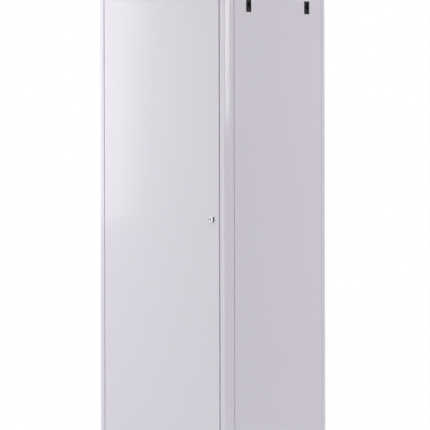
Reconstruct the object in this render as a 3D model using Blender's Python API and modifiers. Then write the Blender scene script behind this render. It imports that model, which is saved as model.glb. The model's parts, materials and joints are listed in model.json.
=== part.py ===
"""Steel clothes locker with one hinged door, as an assembly of separate pieces.

Metres, +Z up. X runs across the width, the door faces -Y, and the origin is on the floor, under the
middle of the locker. Body of the locker: four closed posts, pan-formed panels between them, a roof
tray, a floor tray, a hat shelf, a coat rail and four coat hooks. The door is a folded pan that swings
on two pivot pins and is held by a cam lock.
"""

import math

import bmesh
import bpy
from mathutils import Matrix, Vector

# ---------------------------------------------------------------- driving dimensions
WIDTH = 0.418
DEPTH = 0.500
HEIGHT = 1.830
SHEET = 0.001  # thickness of every folded steel sheet
BEND = 0.0008  # inside radius of a fold
FIT = 0.0003  # gap between pieces that touch

HINGE_POST_FACE = 0.014  # width of the left front post, seen from the front
LOCK_POST_FACE = 0.0179  # width of the right front post
FRONT_POST_SIDE = 0.0442  # depth of a front post, seen from the side
POST_CREASE = 0.022  # where the side of a front post changes direction
POST_TAPER = 0.0008  # how far the front corner stands back from the crease
REAR_POST_SIDE = 0.016
REAR_POST_BACK = 0.030
SEAM = 0.004  # open joint between a front post and a side panel
PANEL_INSET = 0.0006  # how far the panels lie inside the faces of the posts
PANEL_FLANGE = 0.014
PANEL_RETURN = 0.014  # second fold at the front of a side panel
CUTTER_PAST = 0.010  # how far a cutter runs past what it cuts

ROOF_HEIGHT = 0.030
FOOT_HEIGHT = 0.008
FOOT_PLUG = 0.020
FLOOR_TOP = 0.075
PLINTH_LIFT = 0.006  # air under the plinth, above the feet's underside

DOOR_DEPTH = 0.020
DOOR_PROUD = 0.0008  # how far the closed door stands out of the posts
HINGE_SIDE_GAP = 0.0018
LOCK_SIDE_GAP = 0.002
DOOR_END_GAP = 0.003
DOOR_LIP = 0.014
STIFFENER_WIDTH = 0.060
STIFFENER_FLANGE = 0.015
HINGE_INSET = 0.011  # hinge axis from the door's edge
HINGE_BACK = 0.0072  # hinge axis behind the door's face
STOP_CLEAR = 0.004  # from the back of the closed door to its stops
STOP_WIDTH = 0.0165
STOP_FOOT = 0.016  # depth of the strip on the floor
END_STOP = 0.012  # height of the stops above and below the door

PIN_RADIUS = 0.0025
PIN_HEAD_RADIUS = 0.004
PIN_HEAD = 0.002
PIN_REACH = 0.014  # how far a pin enters the door
BUSH_RADIUS = 0.0045
BUSH_FLANGE_RADIUS = 0.0065
BUSH_FLANGE = 0.0014
BUSH_LENGTH = 0.012
WASHER_THICKNESS = 0.0007

LOCK_INSET = 0.025  # lock axis from the door's edge
LOCK_HEIGHT = 0.915
LOCK_PROUD = 0.005
LOCK_HEAD_RADIUS = 0.0098
LOCK_HEAD_EDGE = 0.0015
BARREL_RADIUS = 0.008
PLUG_RADIUS = 0.006
KEYWAY_WIDTH = 0.0016
KEYWAY_LENGTH = 0.0075
KEYWAY_DEPTH = 0.010
TANG = 0.007  # side of the square that drives the cam
CAM_TIP_CLEAR = 0.001  # from the tip of the locked cam to the leg of the stop
CAM_WIDTH = 0.014
CAM_THICKNESS = 0.002
CAM_CORNER = 0.003
CAM_CLEAR = 0.0008  # from the back of the stops to the cam
LOCK_NUT_WIDTH = 0.022
LOCK_NUT_THICKNESS = 0.0032
CAM_SCREW_RADIUS = 0.002
CAM_SCREW_REACH = 0.008
CAM_SCREW_HEAD = 0.003
CAM_SCREW_WIDTH = 0.008

HAT_SPACE = 0.200  # from the top of the hat shelf to the roof
SHELF_FLANGE = 0.022
SHELF_RETURN = 0.008
SHELF_CLEAR = 0.002  # from the shelf to the flanges of the panels
BRACKET_LEG = 0.018
BRACKET_INSET = 0.006

RAIL_DROP = 0.030  # coat rail under the edge of the shelf brackets
RAIL_RADIUS = 0.0095
RAIL_DEPTH = 0.266  # coat rail behind the front of the posts
SOCKET_PLATE_RADIUS = 0.020
SOCKET_PLATE = 0.0025
SOCKET_REACH = 0.012
SOCKET_WALL = 0.0026
RAIL_SCREW_RADIUS = 0.0014
RAIL_SCREW_HEAD_RADIUS = 0.0024
RAIL_SCREW_HEAD = 0.0014

HOOK_DROP = 0.096  # middle of the coat hooks under the top of the hat shelf
HOOK_DEPTHS = {"front": 0.119, "rear": 0.410}  # hooks behind the front of the posts
WINDOW_WIDTH = 0.026
WINDOW_HEIGHT = 0.036
HOOK_RECESS = 0.0002
HOOK_BODY = 0.009
HOOK_POCKET = 0.006
HOOK_WALL = 0.0026
HOOK_FLANGE = 0.0026  # overlap of the inner flange round the window
HOOK_FLANGE_THICKNESS = 0.002
HOOK_REACH = 0.030
HOOK_RISE = 0.016
HOOK_THICKNESS = 0.005
HOOK_WIDTH = 0.013

VENT_COLUMNS = 2
VENT_ROWS = 5
VENT_LENGTH = 0.060
VENT_SLOT = 0.0036
VENT_PITCH = 0.012
VENT_COLUMN_PITCH = 0.076
VENT_INSET = 0.110  # middle of a group of vents from the door's end

BUFFER_RADIUS = 0.005
BUFFER_CHAMFER = 0.001
BUFFER_INSETS = {"upper": 0.157, "lower": 0.162}  # from the door's ends

# ---------------------------------------------------------------- places that follow from them
FRONT = -(DEPTH + DOOR_PROUD + LOCK_PROUD) / 2 + DOOR_PROUD + LOCK_PROUD
BACK = FRONT + DEPTH
HALF = WIDTH / 2
POST_INNER = {-1: HALF - HINGE_POST_FACE, 1: HALF - LOCK_POST_FACE}  # from the middle, left and right
BODY_TOP = HEIGHT - ROOF_HEIGHT  # where the posts and panels end under the roof
DOOR_LEFT = -POST_INNER[-1] + HINGE_SIDE_GAP
DOOR_RIGHT = POST_INNER[1] - LOCK_SIDE_GAP
DOOR_MIDDLE = (DOOR_LEFT + DOOR_RIGHT) / 2
DOOR_FACE = FRONT - DOOR_PROUD
DOOR_BOTTOM = FLOOR_TOP + DOOR_END_GAP
DOOR_TOP = BODY_TOP - DOOR_END_GAP
HINGE_X = DOOR_LEFT + HINGE_INSET
HINGE_Y = DOOR_FACE + HINGE_BACK
LOCK_X = DOOR_RIGHT - LOCK_INSET
PANEL_FACE = HALF - PANEL_INSET
PANEL_INNER = PANEL_FACE - SHEET - FIT  # the furthest out that an inner piece may reach
PANEL_FRONT = FRONT + FRONT_POST_SIDE + SEAM
PANEL_REAR = BACK - REAR_POST_SIDE - FIT
RETURN_END = PANEL_FRONT + PANEL_RETURN
STOP_FACE = DOOR_FACE + DOOR_DEPTH + STOP_CLEAR
CAM_FACE = STOP_FACE + SHEET + CAM_CLEAR
CAM_LENGTH = POST_INNER[1] - FIT - SHEET - CAM_TIP_CLEAR - LOCK_X  # from the lock's axis to the cam's tip
SHELF_TOP = BODY_TOP - HAT_SPACE
SHELF_FRONT = RETURN_END + SHELF_CLEAR
SHELF_REAR = PANEL_REAR - SHEET - SHELF_CLEAR
RAIL_HEIGHT = SHELF_TOP - SHEET - FIT - BRACKET_LEG - RAIL_DROP
HOOK_HEIGHT = SHELF_TOP - HOOK_DROP
STEPS = 32  # sides of a turned piece
SCREW_STEPS = 12


# ---------------------------------------------------------------- helpers
def clear_scene():
    for obj in list(bpy.data.objects):
        bpy.data.objects.remove(obj, do_unlink=True)


def new_collection(name):
    found = bpy.data.collections.new(name)
    bpy.context.scene.collection.children.link(found)
    return found


def painted(name, colour, roughness, metallic=0.0):
    """A Principled material; its viewport colour matches."""
    material = bpy.data.materials.new(name)
    material.use_nodes = True
    shader = material.node_tree.nodes["Principled BSDF"]
    shader.inputs["Base Color"].default_value = (*colour, 1.0)
    shader.inputs["Roughness"].default_value = roughness
    shader.inputs["Metallic"].default_value = metallic
    material.diffuse_color = (*colour, 1.0)
    return material


def link(obj, material=None):
    """Puts the object in the locker's collection with its material, or among the cutters."""
    for found in list(obj.users_collection):
        found.objects.unlink(obj)
    if material is None:
        CUTTERS.objects.link(obj)
        obj.hide_render = True
        obj.display_type = "WIRE"
    else:
        LOCKER.objects.link(obj)
        obj.data.materials.clear()
        obj.data.materials.append(material)
    return obj


def smooth(obj):
    obj.data.shade_smooth()
    obj.data.set_sharp_from_angle(angle=math.radians(30))
    return obj


def object_of(name, mesh, material=None):
    obj = bpy.data.objects.new(name, mesh)
    bpy.context.scene.collection.objects.link(obj)
    return link(obj, material)


def box(name, low, high, material=None):
    """A block between two corners."""
    low, high = Vector(low), Vector(high)
    shape = bmesh.new()
    bmesh.ops.create_cube(shape, size=1.0)
    bmesh.ops.scale(shape, vec=high - low, verts=shape.verts)
    bmesh.ops.translate(shape, vec=(low + high) / 2, verts=shape.verts)
    mesh = bpy.data.meshes.new(name)
    shape.to_mesh(mesh)
    shape.free()
    return object_of(name, mesh, material)


def evaluated_mesh(obj):
    """The object's mesh as its modifiers leave it, welded, with its faces pointing out."""
    bpy.context.view_layer.update()
    graph = bpy.context.evaluated_depsgraph_get()
    mesh = bpy.data.meshes.new_from_object(obj.evaluated_get(graph))
    shape = bmesh.new()
    shape.from_mesh(mesh)
    bmesh.ops.remove_doubles(shape, verts=shape.verts, dist=1e-6)
    bmesh.ops.recalc_face_normals(shape, faces=shape.faces)
    shape.to_mesh(mesh)
    shape.free()
    return mesh


AXIS_TURNS = {
    "X": Matrix(((0, 0, 1), (1, 0, 0), (0, 1, 0))).to_4x4(),  # outline in Y and Z
    "Y": Matrix(((1, 0, 0), (0, 0, -1), (0, 1, 0))).to_4x4(),  # outline in X and Z
    "Z": Matrix.Identity(4),  # outline in X and Y
}
AXIS_SIGNS = {"X": 1, "Y": -1, "Z": 1}


def extruded(name, loops, low, high, axis="Z", material=None):
    """A solid with flat outlines as its section, from low to high along an axis.

    A loop inside another is a hole.
    """
    curve = bpy.data.curves.new(name, "CURVE")
    curve.dimensions = "2D"
    curve.fill_mode = "BOTH"
    curve.extrude = (high - low) / 2
    for loop in loops:
        spline = curve.splines.new("POLY")
        spline.points.add(len(loop) - 1)
        for point, (u, v) in zip(spline.points, loop):
            point.co = (u, v, 0, 1)
        spline.use_cyclic_u = True
    guide = bpy.data.objects.new(name + "_outline", curve)
    bpy.context.scene.collection.objects.link(guide)
    turn = AXIS_TURNS[axis]
    middle = AXIS_SIGNS[axis] * (low + high) / 2
    mesh = evaluated_mesh(guide)
    mesh.transform(turn @ Matrix.Translation((0, 0, middle)))
    mesh.name = name
    bpy.data.objects.remove(guide)
    bpy.data.curves.remove(curve)
    return smooth(object_of(name, mesh, material))


def rounded(corners, radius, steps=3):
    """A closed outline with each corner turned through an arc."""
    loop = []
    count = len(corners)
    for i in range(count):
        before, here, after = (Vector(corners[(i + k) % count]) for k in (-1, 0, 1))
        loop += [tuple(point) for point, _ in arc(before, here, after, radius, steps)]
    return loop


def arc(before, here, after, radius, steps):
    """Points and unit normals along the fillet of one corner. The normal is to the left of the way."""
    inward, outward = (here - before).normalized(), (after - here).normalized()
    turn = inward.angle_signed(outward)  # positive clockwise
    reach = radius * math.tan(abs(turn) / 2)
    start = here - inward * reach
    side = Vector((-inward.y, inward.x)) * (1 if turn < 0 else -1)
    centre = start + side * radius
    found = []
    for k in range(steps + 1):
        angle = -turn * k / steps
        spoke = Matrix.Rotation(angle, 2) @ (start - centre)
        heading = Matrix.Rotation(angle, 2) @ inward
        found.append((centre + spoke, Vector((-heading.y, heading.x))))
    return found


def folded(path, thickness=SHEET, bend=BEND, steps=3):
    """The closed outline of a folded sheet, from the line along the middle of its thickness."""
    path = [Vector(p) for p in path]
    line = []
    for i, here in enumerate(path):
        if 0 < i < len(path) - 1:
            line += arc(path[i - 1], here, path[i + 1], bend + thickness / 2, steps)
            continue
        other = path[1] if i == 0 else path[-2]
        heading = (other - here if i == 0 else here - other).normalized()
        line.append((here, Vector((-heading.y, heading.x))))
    left = [tuple(point + normal * thickness / 2) for point, normal in line]
    right = [tuple(point - normal * thickness / 2) for point, normal in line]
    return left + right[::-1]


def turned(name, profile, axis, place, material, steps=STEPS):
    """A solid of revolution. The profile gives (radius, distance along the axis), going down its outside."""
    mesh = bpy.data.meshes.new(name)
    mesh.from_pydata([(r, 0, z) for r, z in profile], [(i, i + 1) for i in range(len(profile) - 1)], [])
    guide = bpy.data.objects.new(name + "_profile", mesh)
    bpy.context.scene.collection.objects.link(guide)
    screw = guide.modifiers.new("Screw", "SCREW")
    screw.steps = screw.render_steps = steps
    screw.use_merge_vertices = True
    screw.merge_threshold = 1e-6
    made = evaluated_mesh(guide)
    turn = {"X": Matrix.Rotation(math.pi / 2, 4, "Y"), "Y": Matrix.Rotation(-math.pi / 2, 4, "X")}
    made.transform(Matrix.Translation(place) @ turn.get(axis, Matrix.Identity(4)))
    made.name = name
    bpy.data.objects.remove(guide)
    bpy.data.meshes.remove(mesh)
    return smooth(object_of(name, made, material))


def boolean(obj, other, operation="DIFFERENCE"):
    modifier = obj.modifiers.new(operation.title(), "BOOLEAN")
    modifier.operation = operation
    modifier.solver = "EXACT"
    modifier.object = other


def pan(name, low, high, open_side, material, lip=0.0):
    """A folded tray: a block without one side, rounded at its folds and given thickness.

    A lip turns its rims in.
    """
    low, high = Vector(low), Vector(high)
    shape = bmesh.new()
    bmesh.ops.create_cube(shape, size=1.0)
    bmesh.ops.scale(shape, vec=high - low, verts=shape.verts)
    bmesh.ops.translate(shape, vec=(low + high) / 2, verts=shape.verts)
    mouth = max(shape.faces, key=lambda face: face.normal.dot(Vector(open_side)))
    if lip:
        bmesh.ops.inset_region(shape, faces=[mouth], thickness=lip, use_even_offset=True)
    bmesh.ops.delete(shape, geom=[mouth], context="FACES")
    mesh = bpy.data.meshes.new(name)
    shape.to_mesh(mesh)
    shape.free()
    obj = object_of(name, mesh, material)
    bevel = obj.modifiers.new("Folds", "BEVEL")
    bevel.width = BEND + SHEET
    bevel.segments = 3
    bevel.limit_method = "ANGLE"
    solidify = obj.modifiers.new("Sheet", "SOLIDIFY")
    solidify.thickness = SHEET
    solidify.offset = -1
    solidify.use_even_offset = True
    return smooth(obj)


# ---------------------------------------------------------------- body of the locker
def front_post(side, word):
    """Closed column beside the door. Its outer side has a shallow crease."""
    inside = POST_INNER[side]
    outer = [
        (side * inside, FRONT),
        (side * (HALF - POST_TAPER), FRONT),
        (side * HALF, FRONT + POST_CREASE),
        (side * HALF, FRONT + FRONT_POST_SIDE),
        (side * inside, FRONT + FRONT_POST_SIDE),
    ]
    inner = [
        (side * (inside + SHEET), FRONT + SHEET),
        (side * (HALF - POST_TAPER - SHEET), FRONT + SHEET),
        (side * (HALF - SHEET), FRONT + POST_CREASE),
        (side * (HALF - SHEET), FRONT + FRONT_POST_SIDE - SHEET),
        (side * (inside + SHEET), FRONT + FRONT_POST_SIDE - SHEET),
    ]
    loops = [rounded(outer, BEND + SHEET), rounded(inner, BEND)]
    extruded("front_post_" + word, loops, FOOT_HEIGHT + FIT, BODY_TOP - FIT, "Z", STEEL)


def rear_post(side, word):
    """Closed column at a back corner."""
    xs, ys = (HALF - REAR_POST_BACK, HALF), (BACK - REAR_POST_SIDE, BACK)
    loops = []
    for inset, radius in ((0, BEND + SHEET), (SHEET, BEND)):
        (x0, x1), (y0, y1) = (xs[0] + inset, xs[1] - inset), (ys[0] + inset, ys[1] - inset)
        corners = [(side * x0, y0), (side * x1, y0), (side * x1, y1), (side * x0, y1)]
        loops.append(rounded(corners, radius))
    extruded("rear_post_" + word, loops, FOOT_HEIGHT + FIT, BODY_TOP - FIT, "Z", STEEL)


def side_panel(side, word):
    """Panel between the posts, with a window for each coat hook.

    Its rear flange lies on the rear post, and the return of its front flange is level with the front
    post's inner wall.
    """
    half = SHEET / 2
    web = side * (PANEL_FACE - half)
    tip, rear_tip = side * (POST_INNER[side] + half), side * (PANEL_FACE - PANEL_FLANGE)
    front, rear = PANEL_FRONT + half, PANEL_REAR - half
    path = [(tip, RETURN_END), (tip, front), (web, front), (web, rear), (rear_tip, rear)]
    name = "side_panel_" + word
    panel = extruded(name, [folded(path)], FOOT_HEIGHT + FIT, BODY_TOP - FIT, "Z", STEEL)
    for place, depth in HOOK_DEPTHS.items():
        x0, x1 = sorted((side * (PANEL_FACE - 2 * SHEET), side * (PANEL_FACE + SHEET)))
        y, half_width, half_height = FRONT + depth, WINDOW_WIDTH / 2, WINDOW_HEIGHT / 2
        low = (x0, y - half_width, HOOK_HEIGHT - half_height)
        high = (x1, y + half_width, HOOK_HEIGHT + half_height)
        boolean(panel, box(f"window_{word}_{place}", low, high))
    return panel


def back_panel():
    """Pan between the rear posts, folded forwards at both sides."""
    web = BACK - PANEL_INSET - SHEET / 2
    edge = HALF - REAR_POST_BACK - FIT - SHEET / 2
    tip = web - PANEL_FLANGE + SHEET / 2
    path = [(-edge, tip), (-edge, web), (edge, web), (edge, tip)]
    extruded("back_panel", [folded(path)], FOOT_HEIGHT + FIT, BODY_TOP - FIT, "Z", STEEL)


def top_panel():
    """Roof tray. Its rim turns in and lies on the posts and panels."""
    low, high = (-HALF, FRONT, BODY_TOP), (HALF, BACK, HEIGHT)
    roof = pan("top_panel", low, high, (0, 0, -1), STEEL, HINGE_POST_FACE)
    boolean(roof, pin_hole("roof_pin_hole", BODY_TOP))


def bottom_panel():
    """Floor tray. Its front flange is the plinth, and its corners are cut away round the posts."""
    inner = PANEL_INNER
    rear = BACK - PANEL_INSET - SHEET - FIT
    bottom = FOOT_HEIGHT + PLINTH_LIFT
    tray = pan("bottom_panel", (-inner, FRONT, bottom), (inner, rear, FLOOR_TOP), (0, 0, -1), STEEL)
    past = CUTTER_PAST
    for side, word in ((-1, "left"), (1, "right")):
        x0, x1 = sorted((side * (POST_INNER[side] - FIT), side * (HALF + past)))
        low = (x0, FRONT - past, bottom - past)
        high = (x1, RETURN_END + FIT, FLOOR_TOP + past)
        boolean(tray, box(f"front_notch_{word}", low, high))
        flange = SHEET + BEND + 2 * FIT
        x0, x1 = sorted((side * (HALF - REAR_POST_BACK - flange), side * (HALF + past)))
        low = (x0, PANEL_REAR - SHEET - BEND - FIT, bottom - past)
        high = (x1, BACK + past, FLOOR_TOP + past)
        boolean(tray, box(f"rear_notch_{word}", low, high))
    boolean(tray, pin_hole("bottom_pin_hole", FLOOR_TOP))


def top_rail():
    """Angle on the front rim of the roof, drilled for the upper hinge pin. Its flange stops the door."""
    half = SHEET / 2
    stop, front = STOP_FACE + half, FRONT + SHEET + BEND + FIT
    web = BODY_TOP + SHEET + FIT + half
    path = [(stop, BODY_TOP - END_STOP), (stop, web), (front, web)]
    low, high = -POST_INNER[-1] + FIT, POST_INNER[1] - FIT
    rail = extruded("top_rail", [folded(path)], low, high, "X", STEEL)
    boolean(rail, pin_hole("rail_pin_hole", BODY_TOP))


def bottom_stop():
    """Folded strip on the floor behind the door."""
    half = SHEET / 2
    stop, rear = STOP_FACE + half, STOP_FACE + STOP_FOOT
    base = FLOOR_TOP + FIT + half
    path = [(stop, FLOOR_TOP + END_STOP), (stop, base), (rear, base)]
    inset = SHEET + 2 * FIT
    low, high = -POST_INNER[-1] + inset, POST_INNER[1] - inset
    extruded("bottom_stop", [folded(path)], low, high, "X", STEEL)


def door_stop(side, word):
    """Angle strip that joins a front post to a side panel's return.

    The door closes against its flange, and the cam locks behind it.
    """
    half = SHEET / 2
    leg = side * (POST_INNER[side] - FIT - half)
    stop = STOP_FACE + half
    path = [(side * (POST_INNER[side] - STOP_WIDTH), stop), (leg, stop), (leg, RETURN_END)]
    low = FLOOR_TOP + END_STOP + 2 * FIT
    high = BODY_TOP - END_STOP - 2 * FIT
    extruded("door_stop_" + word, [folded(path)], low, high, "Z", STEEL)


def door_buffer(word, height):
    """Rubber button on the lock-side stop, which the closed door rests on."""
    x = POST_INNER[1] - STOP_WIDTH / 2 - FIT
    near, far = DOOR_FACE + DOOR_DEPTH + FIT, STOP_FACE - FIT
    profile = [
        (0, far - near), (BUFFER_RADIUS, far - near), (BUFFER_RADIUS, BUFFER_CHAMFER),
        (BUFFER_RADIUS - BUFFER_CHAMFER, 0), (0, 0),
    ]
    turned("door_buffer_" + word, profile, "Y", (x, near, height), RUBBER, 20)


def foot(name, xs, ys):
    """End plug of a post: a pad with the outline of the post, and a plug inside it."""
    x0, x1 = sorted(xs)
    y0, y1 = ys
    pad_corners = [(x0, y0), (x1, y0), (x1, y1), (x0, y1)]
    pad = extruded(name, [rounded(pad_corners, BEND + SHEET)], 0, FOOT_HEIGHT, "Z", BLACK)
    inset = SHEET + 2 * FIT
    low = (x0 + inset, y0 + inset, FOOT_HEIGHT / 2)
    high = (x1 - inset, y1 - inset, FOOT_HEIGHT + FOOT_PLUG)
    plug = box(name + "_plug", low, high)
    bevel = plug.modifiers.new("Edges", "BEVEL")
    bevel.width = BEND
    bevel.segments = 2
    boolean(pad, plug, "UNION")


def feet():
    for side, word in ((-1, "left"), (1, "right")):
        xs = (side * POST_INNER[side], side * (HALF - POST_TAPER))
        foot("foot_front_" + word, xs, (FRONT, FRONT + FRONT_POST_SIDE))
        xs = (side * (HALF - REAR_POST_BACK), side * HALF)
        foot("foot_rear_" + word, xs, (BACK - REAR_POST_SIDE, BACK))


# ---------------------------------------------------------------- inside the locker
def hat_shelf():
    """Shelf folded down at the front, with a return, and down at the rear."""
    half = SHEET / 2
    front = SHELF_FRONT + half
    rear = SHELF_REAR - half
    top = SHELF_TOP - half
    bottom = SHELF_TOP - SHELF_FLANGE + half
    path = [(front + SHELF_RETURN, bottom), (front, bottom), (front, top), (rear, top), (rear, bottom)]
    extruded("hat_shelf", [folded(path)], -PANEL_INNER, PANEL_INNER, "X", STEEL)


def shelf_bracket(side, word):
    """Angle on the side panel under the shelf."""
    half = SHEET / 2
    leg = side * (PANEL_INNER - half)
    top = SHELF_TOP - SHEET - FIT - half
    path = [(leg, top - BRACKET_LEG), (leg, top), (leg - side * BRACKET_LEG, top)]
    inset = SHELF_RETURN + BRACKET_INSET
    low, high = SHELF_FRONT + inset, SHELF_REAR - inset
    extruded("shelf_bracket_" + word, [folded(path)], low, high, "Y", STEEL)


def coat_rail():
    """Steel tube between the two sockets."""
    reach = PANEL_INNER - SOCKET_PLATE - FIT
    bore = RAIL_RADIUS - SHEET
    outside = [(RAIL_RADIUS, reach), (RAIL_RADIUS, -reach)]
    profile = [*outside, (bore, -reach), (bore, reach), outside[0]]
    turned("coat_rail", profile, "X", (0, FRONT + RAIL_DEPTH, RAIL_HEIGHT), ZINC)


def rail_socket(side, word, panel):
    """Cup on the side panel that holds one end of the coat rail, with the holes for its screws."""
    bore = RAIL_RADIUS + FIT
    outer = bore + SOCKET_WALL
    plate, mouth = SOCKET_PLATE, SOCKET_PLATE + SOCKET_REACH
    profile = [(0, plate), (bore, plate), (bore, mouth), (outer, mouth), (outer, plate),
               (SOCKET_PLATE_RADIUS, plate), (SOCKET_PLATE_RADIUS, 0), (0, 0)]
    place = (side * PANEL_INNER, FRONT + RAIL_DEPTH, RAIL_HEIGHT)
    socket = turned("rail_socket_" + word, inward(profile, side), "X", place, BLACK)
    for end, y in screw_places().items():
        radius = RAIL_SCREW_RADIUS + FIT
        profile = [(0, 2 * plate), (radius, 2 * plate), (radius, -plate), (0, -plate)]
        hole = (side * PANEL_INNER, y, RAIL_HEIGHT)
        profile = inward(profile, side)
        boolean(socket, turned(f"socket_hole_{word}_{end}", profile, "X", hole, None, SCREW_STEPS))
        boolean(panel, turned(f"panel_hole_{word}_{end}", profile, "X", hole, None, SCREW_STEPS))


def inward(profile, side):
    """A profile along X whose distances are measured from a side panel into the locker."""
    return [(radius, -side * along) for radius, along in profile]


def screw_places():
    """The socket's screws, before and behind the coat rail."""
    reach = (RAIL_RADIUS + FIT + SOCKET_WALL + SOCKET_PLATE_RADIUS) / 2
    return {"front": FRONT + RAIL_DEPTH - reach, "rear": FRONT + RAIL_DEPTH + reach}


def rail_screw(side, word, end, y):
    """Dome-headed screw through a socket's plate. Its tip ends within the side panel."""
    seat = SOCKET_PLATE + FIT
    profile = [(0, seat + RAIL_SCREW_HEAD), (RAIL_SCREW_HEAD_RADIUS / 2, seat + RAIL_SCREW_HEAD),
               (RAIL_SCREW_HEAD_RADIUS, seat + RAIL_SCREW_HEAD / 2), (RAIL_SCREW_HEAD_RADIUS, seat),
               (RAIL_SCREW_RADIUS, seat), (RAIL_SCREW_RADIUS, -SHEET), (0, -SHEET)]
    place = (side * PANEL_INNER, y, RAIL_HEIGHT)
    turned(f"rail_screw_{word}_{end}", inward(profile, side), "X", place, ZINC, SCREW_STEPS)


def hook_mesh():
    """Coat hook: a hollow body that snaps into the window, a flange inside the panel and a rising arm.

    The panel's outer face is at x = 0, and the locker's inside is towards -x.
    """
    half_width, half_height = WINDOW_WIDTH / 2 - FIT, WINDOW_HEIGHT / 2 - FIT
    outer = -HOOK_RECESS
    inner = outer - HOOK_BODY
    body = box("hook", (inner, -half_width, -half_height), (outer, half_width, half_height))
    back = -SHEET - FIT
    edge = HOOK_FLANGE + FIT
    low = (back - HOOK_FLANGE_THICKNESS, -half_width - edge, -half_height - edge)
    flange = box("hook_flange", low, (back, half_width + edge, half_height + edge))
    boolean(body, flange, "UNION")
    seat = -half_height + HOOK_THICKNESS
    tip = inner - HOOK_REACH
    path = [(inner + HOOK_THICKNESS / 2, seat), (tip, seat), (tip, seat + HOOK_RISE)]
    outline = folded(path, HOOK_THICKNESS, HOOK_THICKNESS, 4)
    arm = extruded("hook_arm", [outline], -HOOK_WIDTH / 2, HOOK_WIDTH / 2, "Y")
    boolean(body, arm, "UNION")
    pocket_low = (outer - HOOK_POCKET, -half_width + HOOK_WALL, -half_height + HOOK_WALL)
    pocket_high = (outer + SHEET, half_width - HOOK_WALL, half_height - HOOK_WALL)
    boolean(body, box("hook_pocket", pocket_low, pocket_high), "DIFFERENCE")
    mesh = evaluated_mesh(body)
    mesh.name = "coat_hook"
    bpy.data.objects.remove(body)
    return mesh


def coat_hooks():
    mesh = hook_mesh()
    for side, word in ((-1, "left"), (1, "right")):
        for place, depth in HOOK_DEPTHS.items():
            hook = object_of(f"coat_hook_{word}_{place}", mesh, BLACK)
            hook.location = (side * PANEL_FACE, FRONT + depth, HOOK_HEIGHT)
            hook.rotation_euler = (0, 0, 0 if side > 0 else math.pi)


# ---------------------------------------------------------------- hinges
def pin_hole(name, height):
    """Cutter for the hole that a hinge pin goes through."""
    reach = 3 * SHEET
    radius = PIN_RADIUS + FIT
    profile = [(0, reach), (radius, reach), (radius, -reach), (0, -reach)]
    return turned(name, profile, "Z", (HINGE_X, HINGE_Y, height), None)


def hinge_pin(word, up, sheets):
    """Headed pin through one or two sheets. The head is on the far side from the door."""
    seat = DOOR_END_GAP + sheets * (SHEET + FIT)  # from the door's end to under the head
    profile = [(0, seat + PIN_HEAD), (PIN_HEAD_RADIUS, seat + PIN_HEAD), (PIN_HEAD_RADIUS, seat),
               (PIN_RADIUS, seat), (PIN_RADIUS, -PIN_REACH), (0, -PIN_REACH)]
    place = (HINGE_X, HINGE_Y, DOOR_TOP if up > 0 else DOOR_BOTTOM)
    turned("hinge_pin_" + word, [(r, up * z) for r, z in profile], "Z", place, ZINC)


def bush_profile(extra=0.0):
    """Flanged sleeve. Its flange lies on the outside of the door's end."""
    bore = PIN_RADIUS + FIT
    bottom = -BUSH_LENGTH
    return [(BUSH_FLANGE_RADIUS, FIT + BUSH_FLANGE), (BUSH_FLANGE_RADIUS, FIT),
            (BUSH_RADIUS + extra, FIT), (BUSH_RADIUS + extra, bottom), (bore, bottom),
            (bore, FIT + BUSH_FLANGE), (BUSH_FLANGE_RADIUS, FIT + BUSH_FLANGE)]


def hinge_bush(word, up):
    place = (HINGE_X, HINGE_Y, DOOR_TOP if up > 0 else DOOR_BOTTOM)
    turned("hinge_bush_" + word, [(r, up * z) for r, z in bush_profile()], "Z", place, NYLON)


def hinge_washer():
    """Thrust washer between the floor and the lower bush."""
    low = FLOOR_TOP + FIT
    high = low + WASHER_THICKNESS
    bore = PIN_RADIUS + FIT
    profile = [(BUSH_FLANGE_RADIUS, high), (BUSH_FLANGE_RADIUS, low), (bore, low), (bore, high),
               (BUSH_FLANGE_RADIUS, high)]
    turned("hinge_washer", profile, "Z", (HINGE_X, HINGE_Y, 0), ZINC)


# ---------------------------------------------------------------- door
def slot_outline(x, z):
    """Slot with round ends."""
    straight, radius, steps = (VENT_LENGTH - VENT_SLOT) / 2, VENT_SLOT / 2, 4
    loop = []
    for side in (1, -1):
        for k in range(steps + 1):
            angle = -math.pi / 2 + math.pi * k / steps
            across, up = straight + radius * math.cos(angle), radius * math.sin(angle)
            loop.append((x + side * across, z + side * up))
    return loop


def vent_cutter():
    """All of the door's vent slots, as one cutter."""
    loops = []
    for middle in (DOOR_TOP - VENT_INSET, DOOR_BOTTOM + VENT_INSET):
        for row in range(VENT_ROWS):
            for column in range(VENT_COLUMNS):
                x = DOOR_MIDDLE + (column - (VENT_COLUMNS - 1) / 2) * VENT_COLUMN_PITCH
                loops.append(slot_outline(x, middle + (row - (VENT_ROWS - 1) / 2) * VENT_PITCH))
    return extruded("vent_slots", loops, DOOR_FACE - SHEET, DOOR_FACE + 2 * SHEET, "Y")


def door_panel():
    """Door skin with folded edges and lips, cut for the vents, the lock and the hinge bushes."""
    low, high = (DOOR_LEFT, DOOR_FACE, DOOR_BOTTOM), (DOOR_RIGHT, DOOR_FACE + DOOR_DEPTH, DOOR_TOP)
    door = pan("door_panel", low, high, (0, 1, 0), STEEL, DOOR_LIP)
    boolean(door, vent_cutter())
    reach = 3 * SHEET
    lock_radius = BARREL_RADIUS + FIT
    profile = [(0, reach), (lock_radius, reach), (lock_radius, -reach), (0, -reach)]
    boolean(door, turned("lock_hole", profile, "Y", (LOCK_X, DOOR_FACE, LOCK_HEIGHT), None))
    for word, height in (("top", DOOR_TOP), ("bottom", DOOR_BOTTOM)):
        radius = BUSH_RADIUS + FIT
        profile = [(0, reach), (radius, reach), (radius, -reach), (0, -reach)]
        boolean(door, turned(f"bush_hole_{word}", profile, "Z", (HINGE_X, HINGE_Y, height), None))


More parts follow.
